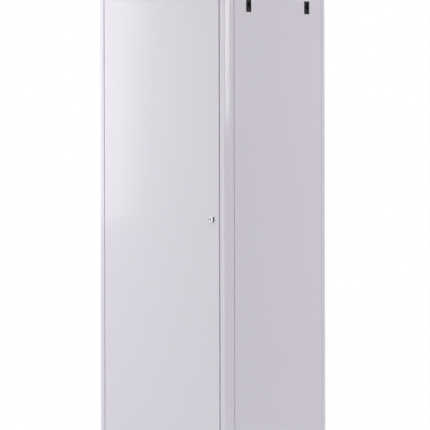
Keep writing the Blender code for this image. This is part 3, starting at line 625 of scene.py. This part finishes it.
class LOCKER_OT_panels(Operator):
    """Make the side panels, with the hooks' windows, and the back panel"""

    bl_idname = "locker.panels"
    bl_label = "Side and back panels"

    def execute(self, context):
        sheet = context.scene.locker_sheet
        half = sheet.thickness / 2
        for side, word in SIDES:
            node = "side_panel_" + word
            low, high = SPAN[node]
            tip, web = sorted((low.x, high.x), key=abs)
            tip, web = tip + side * half, web - side * half
            front, rear = low.y + half, high.y - half
            rear_tip = web + side * half - side * sheet.panel_flange
            path = [(tip, low.y + sheet.panel_return), (tip, front), (web, front), (web, rear),
                    (rear_tip, rear)]
            panel = folded(node + "_sheet", path, low.z, high.z, "Z")
            for end in ENDS:
                cut(panel, window_cutter(side, word, end, sheet))
            for end in ENDS:
                screw = middle(f"rail_screw_{word}_{end}")
                centre, radius = (web, screw.y, screw.z), 0.0016
                name = f"screw_hole_{word}_{end}"
                cut(panel, rod(name, radius, HOLE_REACH, -HOLE_REACH, "X", centre, 20))
            place_sheet(panel, node)
        low, high = SPAN["back_panel"]
        web, edge = high.y - half, high.x - half
        path = [(-edge, low.y), (-edge, web), (edge, web), (edge, low.y)]
        place_sheet(folded("back_panel_sheet", path, low.z, high.z, "Z"), "back_panel")
        return {"FINISHED"}


def window_cutter(side, word, end, sheet):
    """The window of a coat hook, a little larger than the hook's body."""
    low, high = SPAN[f"coat_hook_{word}_{end}"]
    y, z = (low.y + high.y) / 2, HOOK_CENTRE_Z
    x = SPAN["side_panel_" + word][0 if side < 0 else 1].x
    past = 3 * sheet.thickness
    low = (x - past, y - WINDOW_HALF_WIDTH, z - WINDOW_HALF_HEIGHT)
    high = (x + past, y + WINDOW_HALF_WIDTH, z + WINDOW_HALF_HEIGHT)
    return block(f"window_{word}_{end}", low, high)


class LOCKER_OT_trays(Operator):
    """Make the roof and the floor"""

    bl_idname = "locker.trays"
    bl_label = "Roof and floor"

    def execute(self, context):
        sheet = context.scene.locker_sheet
        hinge_post = SPAN["front_post_left"]
        low, high = SPAN["top_panel"]
        roof = tray("top_panel_sheet", low, high, (0, 0, -1), hinge_post[1].x - hinge_post[0].x)
        place_sheet(cut(roof, pin_cutter("roof_pin_hole", low.z)), "top_panel")

        low, high = SPAN["bottom_panel"]
        floor = tray("bottom_panel_sheet", low, high, (0, 0, -1))
        past = 0.02
        inside = SPAN["rear_post_right"][0].x - sheet.thickness - sheet.bend - 2 * sheet.play
        behind = SPAN["side_panel_right"][1].y - sheet.thickness - sheet.bend - sheet.play
        ahead = SPAN["side_panel_right"][0].y + sheet.panel_return + sheet.play
        for side, word in SIDES:
            post_inner = min(abs(corner.x) for corner in SPAN["front_post_" + word])
            for end, x, y0, y1 in (("front", post_inner - sheet.play, low.y - past, ahead),
                                   ("rear", inside, behind, high.y + past)):
                x0, x1 = sorted((side * x, side * (high.x + past)))
                cut(floor, block(f"notch_{end}_{word}", (x0, y0, low.z - past), (x1, y1, high.z + past)))
        place_sheet(cut(floor, pin_cutter("floor_pin_hole", high.z)), "bottom_panel")
        return {"FINISHED"}


def pin_cutter(name, z, radius=PIN_HOLE_RADIUS, reach=0.004):
    """The hole for a hinge pin or its bush."""
    return rod(name, radius, reach, -reach, "Z", (HINGE_AXIS.x, HINGE_AXIS.y, z), 32)


class LOCKER_OT_stops(Operator):
    """Make the rail over the door, the strips that stop the door, and its rubber buttons"""

    bl_idname = "locker.stops"
    bl_label = "Stops and buttons"

    def execute(self, context):
        sheet = context.scene.locker_sheet
        half = sheet.thickness / 2
        low, high = SPAN["top_rail"]
        path = [(high.y - half, low.z), (high.y - half, high.z - half), (low.y, high.z - half)]
        rail = folded("top_rail_sheet", path, low.x, high.x, "X")
        place_sheet(cut(rail, pin_cutter("rail_pin_hole", high.z)), "top_rail")
        low, high = SPAN["bottom_stop"]
        path = [(low.y + half, high.z), (low.y + half, low.z + half), (high.y, low.z + half)]
        place_sheet(folded("bottom_stop_sheet", path, low.x, high.x, "X"), "bottom_stop")
        for side, word in SIDES:
            low, high = SPAN["door_stop_" + word]
            tip, leg = sorted((low.x, high.x), key=abs)
            leg -= side * half
            path = [(tip, low.y + half), (leg, low.y + half), (leg, high.y)]
            strap = folded(f"door_stop_{word}_sheet", path, low.z, high.z, "Z")
            place_sheet(strap, "door_stop_" + word)
        for word in ("upper", "lower"):
            low, high = SPAN["door_buffer_" + word]
            centre, radius, depth = (low + high) / 2, (high.x - low.x) / 2, high.y - low.y
            seat, waist = (centre.x, low.y, centre.z), radius * 0.9
            profile = [(0, depth), (radius, depth), (radius, depth * 0.72), (waist, depth * 0.6),
                       (waist, depth * 0.28), (waist * 0.8, 0), (0, 0)]
            button = lathe(f"door_buffer_{word}_moulding", profile, "Y", seat, 40, 0.0003)
            place(button, "door_buffer_" + word)
        return {"FINISHED"}


class LOCKER_OT_door(Operator):
    """Make the door's skin with its louvres, and the channel that stiffens it"""

    bl_idname = "locker.door"
    bl_label = "Door"

    def execute(self, context):
        sheet, door = context.scene.locker_sheet, context.scene.locker_door
        skin = tray("door_skin", DOOR_LOW, DOOR_HIGH, (0, 1, 0), door.lip)
        hoods = bmesh.new()
        footprints = []
        for level in (DOOR_HIGH.z - door.louvre_inset, DOOR_LOW.z + door.louvre_inset):
            for row in range(door.rows):
                z = level + (row - (door.rows - 1) / 2) * door.louvre_pitch
                for column in range(door.columns):
                    x = DOOR_MIDDLE + (column - (door.columns - 1) / 2) * door.column_pitch
                    add_hood(hoods, x, z, door)
                    footprints.append(footprint(x, z, door))
        ahead, behind = FACE - sheet.thickness, FACE + 2 * sheet.thickness
        for i, loop in enumerate(footprints):
            cut(skin, prism(f"louvre_hole_{i}", [loop], ahead, behind, "Y"))
        reach = SPAN["lock_nut"][0].y - FACE + 3 * sheet.thickness
        centre, radius = (LOCK_AXIS.x, FACE, LOCK_AXIS.z), BARREL_RADIUS + sheet.play
        cut(skin, rod("lock_hole", radius, reach, -reach, "Y", centre, 48))
        for word, z in (("top", DOOR_HIGH.z), ("bottom", DOOR_LOW.z)):
            cut(skin, pin_cutter(f"bush_hole_{word}", z, BUSH_RADIUS + sheet.play))
        place_sheet(skin, "door_panel")
        bmesh.ops.recalc_face_normals(hoods, faces=hoods.faces)
        for face in hoods.faces:
            if face.normal.y > 0.2:
                bmesh.ops.reverse_faces(hoods, faces=[face])
        louvres = thicken(object_of("door_louvres", hoods), 0.8 * sheet.thickness, -1)
        place(louvres, beside="door_panel")

        low, high = SPAN["door_stiffener"]
        half, inner = sheet.thickness / 2, door.stiffener / 2
        seat, crown, left, right = low.y + half, high.y - half, DOOR_MIDDLE - inner, DOOR_MIDDLE + inner
        path = [(low.x, seat), (left, seat), (left, crown), (right, crown), (right, seat), (high.x, seat)]
        channel = folded("door_stiffener_sheet", path, low.z, high.z, "Z")
        place_sheet(channel, "door_stiffener")
        return {"FINISHED"}


def footprint(x, z, door):
    """Outline of the hole that a louvre leaves in the skin."""
    half = door.louvre_length / 2
    bottom, top = z - door.louvre_height / 2, z + door.louvre_height / 2
    corners = [(x - half, bottom), (x + half, bottom), (x + half, top), (x - half, top)]
    return rounded_loop(corners, door.louvre_height / 4, 3)


def add_hood(shape, x, z, door):
    """Adds one pressed hood: it rises from the skin at its top and ends, and is open below."""
    across, down = 24, 6
    rows = []
    for j in range(down + 1):
        v = j / down
        row = []
        for i in range(across + 1):
            u = 2 * i / across - 1
            ends = (1 - abs(u) ** 8) ** 0.5
            rise = door.louvre_rise * math.sin(v * math.pi / 2) * ends
            point = (x + u * door.louvre_length / 2, FACE - rise, z + (0.5 - v) * door.louvre_height)
            row.append(shape.verts.new(point))
        rows.append(row)
    for j in range(down):
        for i in range(across):
            shape.faces.new((rows[j][i], rows[j][i + 1], rows[j + 1][i + 1], rows[j + 1][i]))


class LOCKER_OT_interior(Operator):
    """Make the hat shelf with its brackets, the coat rail, its sockets and their screws"""

    bl_idname = "locker.interior"
    bl_label = "Shelf and coat rail"

    def execute(self, context):
        sheet = context.scene.locker_sheet
        half = sheet.thickness / 2
        low, high = SPAN["hat_shelf"]
        front, rear, top, bottom = low.y + half, high.y - half, high.z - half, low.z + half
        path = [(front + sheet.shelf_return, bottom), (front, bottom), (front, top), (rear, top),
                (rear, bottom)]
        place_sheet(folded("hat_shelf_sheet", path, low.x, high.x, "X"), "hat_shelf")

        low, high = SPAN["coat_rail"]
        radius, centre, reach = (high.z - low.z) / 2, (low + high) / 2, (high.x - low.x) / 2
        profile = ring(radius, radius - sheet.thickness, reach, -reach)
        place(lathe("coat_rail_tube", profile, "X", centre, 64, sheet.edge), "coat_rail")

        for side, word in SIDES:
            low, high = SPAN["shelf_bracket_" + word]
            tip, leg = sorted((low.x, high.x), key=abs)
            leg -= side * half
            path = [(leg, low.z), (leg, high.z - half), (tip, high.z - half)]
            bracket = folded(f"shelf_bracket_{word}_sheet", path, low.y, high.y, "Y")
            place_sheet(bracket, "shelf_bracket_" + word)
            place(rail_socket(side, word, radius), "rail_socket_" + word)
            for end in ENDS:
                place(rail_screw(side, word, end), f"rail_screw_{word}_{end}")
        return {"FINISHED"}


def rail_socket(side, word, rail_radius):
    """Cup with a round plate, a fillet between them, and the holes for its screws."""
    low, high = SPAN["rail_socket_" + word]
    inner, outer = sorted((low.x, high.x), key=abs)
    depth, plate_radius, plate = abs(outer - inner), (high.z - low.z) / 2, 0.0025
    bore, cup = rail_radius + 0.0003, rail_radius + 0.0029
    root, hole_radius = 0.0016, 0.0017
    curve = [(cup + root * (1 - math.cos(a)), plate + root * (1 - math.sin(a)))
             for a in (math.pi / 2 * k / 5 for k in range(6))]
    profile = [(0, plate), (bore, plate), (bore, depth), (cup, depth), *curve,
               (plate_radius, plate), (plate_radius, 0), (0, 0)]
    profile = [(r, -side * z) for r, z in profile]
    centre = Vector((outer, (low.y + high.y) / 2, (low.z + high.z) / 2))
    socket = lathe(f"rail_socket_{word}_moulding", profile, "X", centre, 64, 0.0004)
    for end in ENDS:
        spot = (outer, middle(f"rail_screw_{word}_{end}").y, centre.z)
        name = f"socket_hole_{word}_{end}"
        cut(socket, rod(name, hole_radius, HOLE_REACH, -HOLE_REACH, "X", spot, 20))
    return socket


def rail_screw(side, word, end):
    """Dome-headed screw with a cross recess."""
    low, high = SPAN[f"rail_screw_{word}_{end}"]
    inner, outer = sorted((low.x, high.x), key=abs)
    centre = Vector((inner, (low.y + high.y) / 2, (low.z + high.z) / 2))
    radius, head, shank = (high.z - low.z) / 2, 0.0014, 0.0014
    length = abs(outer - inner)
    dome = [(radius * math.sin(a), head * 0.75 * (1 - math.cos(a)))
            for a in (math.pi / 2 * k / 6 for k in range(7))]
    profile = [*dome, (radius, head), (shank, head), (shank, length), (0, length)]
    name = f"rail_screw_{word}_{end}_turned"
    screw = lathe(name, [(r, side * z) for r, z in profile], "X", centre, 40)
    arm, slot, depth = radius * 0.55, radius * 0.14, head * 0.6
    for i, (dy, dz) in enumerate(((arm, slot), (slot, arm))):
        corner = Vector((depth, dy, dz))
        cut(screw, block(f"{name}_recess_{i}", centre - corner, centre + corner))
    return screw


class LOCKER_OT_hooks(Operator):
    """Make the coat hooks that snap into the side panels"""

    bl_idname = "locker.hooks"
    bl_label = "Coat hooks"

    def execute(self, context):
        for side, word in SIDES:
            for end in ENDS:
                node = f"coat_hook_{word}_{end}"
                low, high = SPAN[node]
                outer = max((low.x, high.x), key=abs)
                hook = coat_hook(node + "_moulding")
                turn = Matrix.Identity(4) if side > 0 else Matrix.Rotation(math.pi, 4, "Z")
                move = Matrix.Translation((outer, (low.y + high.y) / 2, HOOK_CENTRE_Z))
                hook.data.transform(move @ turn)
                place(hook, node)
        return {"FINISHED"}


def coat_hook(name):
    """One coat hook, with the outside of its body at x = 0 and the locker's inside towards -x."""
    width, height = BODY_HALF_WIDTH, BODY_HALF_HEIGHT
    body_depth, wall, pocket = 0.009, 0.0024, 0.0062
    reach, thick, arm_width, rise = 0.030, 0.005, 0.013, 0.016
    soft, recess = 0.0004, 0.0002
    tip_half, tip_lap, tip_rise = 0.0035, 0.001, 0.0025
    gusset_half, gusset_reach, gusset_height, sunk = 0.0013, 0.009, 0.010, 0.0005
    hook = block(name, (-body_depth, -width, -height), (-recess, width, height), soft)
    flange_low = (-0.0025, -width - HOOK_FLANGE, -height - HOOK_FLANGE)
    flange_high = (-0.0005, width + HOOK_FLANGE, height + HOOK_FLANGE)
    cut(hook, block(name + "_flange", flange_low, flange_high, soft), "UNION")
    seat = -height + thick
    path = [Vector(p) for p in ((-body_depth + thick / 2, seat), (-body_depth - reach, seat),
                                (-body_depth - reach, seat + rise))]
    line = [path[0], *fillet(*path, thick * 1.5, 10), path[2]]
    arm = thicken(strip(name + "_arm", line, -arm_width / 2, arm_width / 2, "Y"), thick, 0)
    settle(round_edges(arm, 0.0012, 3))
    cut(hook, arm, "UNION")
    tip_low = (-body_depth - reach - tip_half, -arm_width / 2 - tip_lap, seat + rise - tip_half)
    tip_high = (-body_depth - reach + tip_half, arm_width / 2 + tip_lap, seat + rise + tip_rise)
    cut(hook, block(name + "_tip", tip_low, tip_high, 0.0018, 4), "UNION")
    gusset = [(-body_depth + 0.001, seat + sunk), (-body_depth + 0.001, seat + gusset_height),
              (-body_depth - gusset_reach, seat + sunk)]
    cut(hook, prism(name + "_gusset", [gusset], -gusset_half, gusset_half, "Y"), "UNION")
    pocket_low = (-pocket, -width + wall, -height + wall)
    pocket_high = (CUTTER_REACH, width - wall, height - wall)
    cut(hook, block(name + "_pocket", pocket_low, pocket_high))
    tongues = ((-0.80, -0.26, 0.0008), (0.50, 0.84, 0.0016))  # low and high shares of the height, depth
    for i, (low_share, high_share, depth) in enumerate(tongues):
        tongue_low = (-pocket - sunk, -width * 0.56, height * low_share)
        tongue_high = (-depth, width * 0.56, height * high_share)
        cut(hook, block(f"{name}_tongue_{i}", tongue_low, tongue_high, 0.0003), "UNION")
    return settle(hook)


class LOCKER_OT_hinges(Operator):
    """Make the hinge pins, their bushes and the thrust washer"""

    bl_idname = "locker.hinges"
    bl_label = "Hinges"

    def execute(self, context):
        play = context.scene.locker_sheet.play
        head, flange = 0.002, 0.0014
        for word, up in (("top", 1), ("bottom", -1)):
            node = "hinge_pin_" + word
            tall, wide = height_of(node), radius_of(node)
            pin = [(0, tall), (wide, tall), (wide, tall - head), (PIN_RADIUS, tall - head), (PIN_RADIUS, 0),
                   (0, 0)]
            hinge_piece(node, "turned", pin, up, 0.0004)
            node = "hinge_bush_" + word
            tall, wide, bore = height_of(node), radius_of(node), PIN_RADIUS + play
            bush = [(wide, tall), (wide, tall - flange), (BUSH_RADIUS, tall - flange), (BUSH_RADIUS, 0),
                    (bore, 0), (bore, tall), (wide, tall)]
            hinge_piece(node, "moulding", bush, up, 0.00025)
        node = "hinge_washer"
        washer = ring(radius_of(node), PIN_HOLE_RADIUS, height_of(node), 0)
        hinge_piece(node, "turned", washer, 1, 0.00015)
        return {"FINISHED"}


def height_of(node):
    """The height of a node's box."""
    low, high = SPAN[node]
    return high.z - low.z


def hinge_piece(node, word, profile, up, edge):
    """Places a turned piece on the hinge's axis, standing on its lower end or hanging from its upper one."""
    low, high = SPAN[node]
    centre = (HINGE_AXIS.x, HINGE_AXIS.y, low.z if up > 0 else high.z)
    place(lathe(f"{node}_{word}", [(r, up * z) for r, z in profile], "Z", centre, 48, edge), node)


class LOCKER_OT_lock(Operator):
    """Make the cam lock: housing, plug, nut, cam and cam screw"""

    bl_idname = "locker.lock"
    bl_label = "Cam lock"

    def execute(self, context):
        lock = context.scene.locker_lock
        sheet = context.scene.locker_sheet
        low, high = SPAN["lock_housing"]
        centre = Vector((LOCK_AXIS.x, FACE, LOCK_AXIS.z))
        head, end = low.y - FACE, high.y - FACE
        barrel, bore, step = BARREL_RADIUS, PLUG_RADIUS + sheet.play / 2, 0.0066
        chamfer, slope = 0.0003, 0.0004
        flank = [Vector((HEAD_RADIUS, 0)), Vector((HEAD_RADIUS, head + lock.crown)),
                 Vector((HEAD_RADIUS - lock.rim, head)), Vector((step, head))]
        rim = fillet(*flank[:3], 0.0004, 5) + fillet(*flank[1:], 0.0002, 4)
        profile = [(bore, end), (barrel, end), (barrel, -sheet.play), (HEAD_RADIUS, -sheet.play), *rim,
                   (step + chamfer, head), (step, head + chamfer), (step - slope, head + lock.dish),
                   (bore, head + lock.dish), (bore, end)]
        place(lathe("lock_housing_turned", profile, "Y", centre, 96, 0.0001, 2), "lock_housing")
        place(lock_plug(centre, head, lock, sheet), "lock_plug")

        low, high = SPAN["lock_nut"]
        loops = [hexagon(centre, high.z - low.z), circle(centre, BARREL_RADIUS + sheet.play)]
        place(prism("lock_nut_machined", loops, low.y, high.y, "Y", 0.0003), "lock_nut")
        low, high = SPAN["lock_cam"]
        half, corner = (high.x - low.x) / 2, 0.003
        loop = [(centre.x + half * math.cos(a), centre.z + half * math.sin(a))
                for a in (math.pi * k / 20 for k in range(21))]
        tip = [Vector((centre.x - half, centre.z)), Vector((centre.x - half, low.z)),
               Vector((centre.x + half, low.z)), Vector((centre.x + half, centre.z))]
        loop += fillet(tip[0], tip[1], tip[2], corner, 6) + fillet(tip[1], tip[2], tip[3], corner, 6)
        side = lock.tang / 2 + sheet.play
        square = ((1, 1), (-1, 1), (-1, -1), (1, -1))
        hole = [(centre.x + a * side, centre.z + b * side) for a, b in square]
        place(prism("lock_cam_pressing", [loop, hole], low.y, high.y, "Y", 0.00025), "lock_cam")

        low, high = SPAN["cam_screw"]
        thick, shank = 0.003, 0.002
        loops, neck = [hexagon(centre, high.z - low.z)], high.y - thick
        screw = prism("cam_screw_machined", loops, neck, high.y, "Y", 0.0003)
        tip, spot = low.y - high.y + thick, (centre.x, neck, centre.z)
        cut(screw, rod("cam_screw_shank", shank, thick / 2, tip, "Y", spot, 32), "UNION")
        place(screw, "cam_screw")
        return {"FINISHED"}


def circle(centre, radius, steps=48):
    """An outline in X and Z."""
    return [(centre.x + radius * math.cos(a), centre.z + radius * math.sin(a))
            for a in (math.tau * k / steps for k in range(steps))]


def hexagon(centre, width):
    """The outline of a nut, from its width across flats."""
    return circle(centre, width / math.sqrt(3), 6)


def lock_plug(centre, head, lock, sheet):
    """Plug with a stepped face, the keyway with its shutter, and the square tang that carries the cam."""
    low, high = SPAN["lock_plug"]
    radius, end = (high.x - low.x) / 2, SPAN["lock_housing"][1].y - FACE
    face = head + lock.dish + 0.0002
    disc, step = radius - 0.0012, 0.0005
    profile = [(0, end), (radius, end), (radius, face), (disc, face), (disc, face - step), (0, face - step)]
    plug = lathe("lock_plug_turned", profile, "Y", centre, 64, 0.00012, 2)
    half = lock.tang / 2
    tang_low = (centre.x - half, FACE + end - sheet.thickness, centre.z - half)
    tang_high = (centre.x + half, high.y, centre.z + half)
    cut(plug, block("lock_tang", tang_low, tang_high, 0.0002), "UNION")
    width, depth, front = lock.key_width, 0.010, FACE + face
    slot_low = (centre.x - width / 2, front - CUTTER_REACH, centre.z - lock.key_length / 2)
    slot_high = (centre.x + width / 2, front + depth, centre.z + lock.key_length / 2)
    cut(plug, block("keyway", slot_low, slot_high))
    end_share, end_radius, shutter_share = 0.40, width * 0.72, 0.23  # shares of the keyway's length
    for i, way in enumerate((-1, 1)):
        spot = (centre.x, front, centre.z + way * lock.key_length * end_share)
        cut(plug, rod(f"keyway_end_{i}", end_radius, depth, -CUTTER_REACH, "Y", spot, 28))
    half = lock.key_length * shutter_share
    shutter_low = (centre.x - width, front - 0.0003, centre.z - half)
    shutter_high = (centre.x + width, front + 0.0012, centre.z + half)
    cut(plug, block("keyway_shutter", shutter_low, shutter_high, 0.00015), "UNION")
    bore_depth, bore_radius, past = 0.0086, 0.0023, 0.001
    spot = (centre.x, high.y, centre.z)
    cut(plug, rod("cam_screw_bore", bore_radius, past, -bore_depth, "Y", spot, 32))
    return plug


class LOCKER_OT_feet(Operator):
    """Make the plastic feet that plug the posts"""

    bl_idname = "locker.feet"
    bl_label = "Feet"

    def execute(self, context):
        sheet = context.scene.locker_sheet
        for _, word in SIDES:
            for end in ENDS:
                node = f"foot_{end}_{word}"
                low, high = SPAN[node]
                top = SPAN[f"{end}_post_{word}"][0].z - sheet.play
                corners = [(low.x, low.y), (high.x, low.y), (high.x, high.y), (low.x, high.y)]
                loop = rounded_loop(corners, sheet.bend + sheet.thickness, sheet.bend_steps)
                foot = settle(prism(node + "_moulding", [loop], low.z, top, "Z", 0.0006))
                inset = sheet.thickness + 2 * sheet.play
                plug_low = (low.x + inset, low.y + inset, top / 2)
                plug_high = (high.x - inset, high.y - inset, high.z)
                cut(foot, block(node + "_plug", plug_low, plug_high, 0.0012, 3), "UNION")
                place(foot, node)
        return {"FINISHED"}


class LOCKER_OT_studio(Operator):
    """Make the floor, the lights, the surroundings and the camera"""

    bl_idname = "locker.studio"
    bl_label = "Studio"

    def execute(self, context):
        studio = context.scene.locker_studio
        make_floor(studio)
        make_card()
        make_lights(studio)
        make_world(context.scene, studio)
        make_camera(context.scene, studio)
        context.scene.view_settings.view_transform = "Standard"
        return {"FINISHED"}


def make_floor(studio):
    """A pale round floor that fades into the white surroundings."""
    shape = bmesh.new()
    bmesh.ops.create_circle(shape, cap_ends=True, segments=128, radius=studio.floor)
    floor = object_of("studio_floor", shape)
    material = bpy.data.materials.new("studio_floor")
    nodes = Nodes(material)
    tone = nodes.mixed(nodes.noise(0.5, 2.0), (0.80, 0.80, 0.81), (0.83, 0.83, 0.84))
    nodes.surface(tone, nodes.spread(nodes.noise(0.05, 2.0), 0.6, 0.7))
    glow = nodes.add("ShaderNodeEmission", Color=(1, 1, 1, 1), Strength=1.0)
    fade = nodes.add("ShaderNodeMixShader")
    start, end = 0.25 * studio.floor, 0.92 * studio.floor
    nodes.link(nodes.spread(nodes.distance(nodes.place), 0.0, 1.0, start, end), fade, 0)
    nodes.link(nodes.shader.outputs[0], fade, 1)
    nodes.link(glow.outputs[0], fade, 2)
    nodes.link(fade.outputs[0], nodes.tree.nodes["Material Output"], "Surface")
    floor.data.materials.append(material)


CARD_LOW, CARD_HIGH = (0.36, -2.6, 0.02), (3.2, -0.32, 0.05)


def make_card():
    """A dark card low on the right of the door, which only gloss reflects."""
    card = block("studio_card", CARD_LOW, CARD_HIGH, 0.004)
    material = bpy.data.materials.new("studio_card")
    nodes = Nodes(material)
    tone = nodes.mixed(nodes.noise(0.2, 2.0), (0.006, 0.006, 0.007), (0.010, 0.010, 0.011))
    nodes.surface(tone, nodes.spread(nodes.noise(0.1, 2.0), 0.8, 0.95))
    card.data.materials.append(material)
    for ray in ("camera", "diffuse", "shadow", "transmission", "volume_scatter"):
        setattr(card, "visible_" + ray, False)


def make_lights(studio):
    """Soft boxes, each (name, power, colour, width and height, place, aim)."""
    core = Vector((0, 0, LOCK_AXIS.z))
    post_low, post_high = SPAN["front_post_right"]
    corner = Vector((post_high.x, post_low.y, 1.4))
    white, pink, square, slit = (1.0, 1.0, 1.0), (1.0, 0.965, 1.0), (1.2, 1.2), (0.11, 0.62)
    boxes = (
        ("key", studio.key, white, square, (-1.3, -1.0, 1.5), core + Vector((-0.1, 0, 0.3))),
        ("fill", studio.fill, pink, square, (2.1, 1.3, 1.8), core + Vector((0, 0.2, 0.1))),
        ("glint", studio.glint, white, slit, corner + Vector((1.26, 1.55, 0.12)), corner),
    )
    for name, power, tint, size, spot, aim in boxes:
        light = bpy.data.lights.new("studio_" + name, "AREA")
        light.energy = power
        light.shape = "RECTANGLE"
        light.size, light.size_y = size
        light.color = tint
        obj = bpy.data.objects.new("studio_" + name, light)
        obj.location = spot
        obj.rotation_euler = (aim - Vector(spot)).to_track_quat("-Z", "Y").to_euler()
        obj.visible_camera = False
        bpy.context.scene.collection.objects.link(obj)


def make_world(scene, studio):
    """A white backdrop, and the studio's own light from above.

    Gloss reflects pale walls in front and on the left, and a dark part of the room on the right.
    """
    world = bpy.data.worlds.new("studio_surroundings")
    scene.world = world
    nodes = Nodes(world)
    parts = nodes.link(nodes.coordinates.outputs["Generated"], nodes.add("ShaderNodeSeparateXYZ"), 0)
    path = nodes.add("ShaderNodeLightPath")
    steep = nodes.spread(nodes.maths("ABSOLUTE", parts.outputs["Z"]), studio.horizon, studio.sky, 0.1, 0.8)
    walls = nodes.spread(parts.outputs["X"], studio.walls, studio.walls * (1 - studio.shade), 0.3, 0.5)
    gloss = nodes.maths("MULTIPLY", path.outputs["Is Glossy Ray"], nodes.maths("SUBTRACT", walls, steep))
    seen = path.outputs["Is Camera Ray"]
    unseen = nodes.maths("SUBTRACT", 1.0, seen)
    room = nodes.maths("MULTIPLY", nodes.maths("ADD", steep, gloss), unseen)
    back = nodes.tree.nodes["Background"]
    nodes.link(nodes.maths("ADD", room, seen), back, "Strength")
    back.inputs["Color"].default_value = (1, 1, 1, 1)


def make_camera(scene, studio):
    """A level camera with a long lens."""
    data = bpy.data.cameras.new("camera")
    data.lens = studio.lens
    data.clip_start, data.clip_end = 0.1, 200
    camera = bpy.data.objects.new("camera", data)
    scene.collection.objects.link(camera)
    a = studio.azimuth
    right = Vector((math.cos(a), math.sin(a), 0))
    back = Vector((math.sin(a), -math.cos(a), 0))
    camera.location = back * studio.distance + right * studio.aside + Vector((0, 0, studio.height))
    level = Matrix.Rotation(a, 3, "Z") @ Matrix.Rotation(math.pi / 2, 3, "X")
    camera.rotation_euler = (level @ Matrix.Rotation(studio.roll, 3, "Z")).to_euler()
    scene.camera = camera


# ---------------------------------------------------------------- sidebar
class LOCKER_PT_sidebar(Panel):
    """Lists what makes the locker, and its sizes and colours"""

    bl_label = "Clothes Locker"
    bl_idname = "LOCKER_PT_sidebar"
    bl_space_type = "VIEW_3D"
    bl_region_type = "UI"
    bl_category = "Locker"

    def draw(self, context):
        for maker in MAKERS:
            self.layout.operator(maker.bl_idname)
        for key, group in GROUPS.items():
            box = self.layout.box()
            box.label(text=key.title())
            for name in group.__annotations__:
                box.prop(getattr(context.scene, "locker_" + key), name)


GROUPS = {
    "sheet": LockerSheet,
    "door": LockerDoor,
    "lock": LockerLock,
    "finish": LockerFinish,
    "studio": LockerStudio,
}
MAKERS = (
    LOCKER_OT_posts,
    LOCKER_OT_panels,
    LOCKER_OT_trays,
    LOCKER_OT_stops,
    LOCKER_OT_door,
    LOCKER_OT_interior,
    LOCKER_OT_hooks,
    LOCKER_OT_hinges,
    LOCKER_OT_lock,
    LOCKER_OT_feet,
    LOCKER_OT_studio,
)


def register():
    for kind in (*GROUPS.values(), *MAKERS, LOCKER_PT_sidebar):
        bpy.utils.register_class(kind)
    for key, group in GROUPS.items():
        setattr(bpy.types.Scene, "locker_" + key, PointerProperty(type=group))


def unregister():
    for key in GROUPS:
        delattr(bpy.types.Scene, "locker_" + key)
    for kind in reversed((*GROUPS.values(), *MAKERS, LOCKER_PT_sidebar)):
        bpy.utils.unregister_class(kind)


def main():
    register()
    for maker in MAKERS:
        group, name = maker.bl_idname.split(".")
        getattr(getattr(bpy.ops, group), name)()


if __name__ == "__main__":
    main()
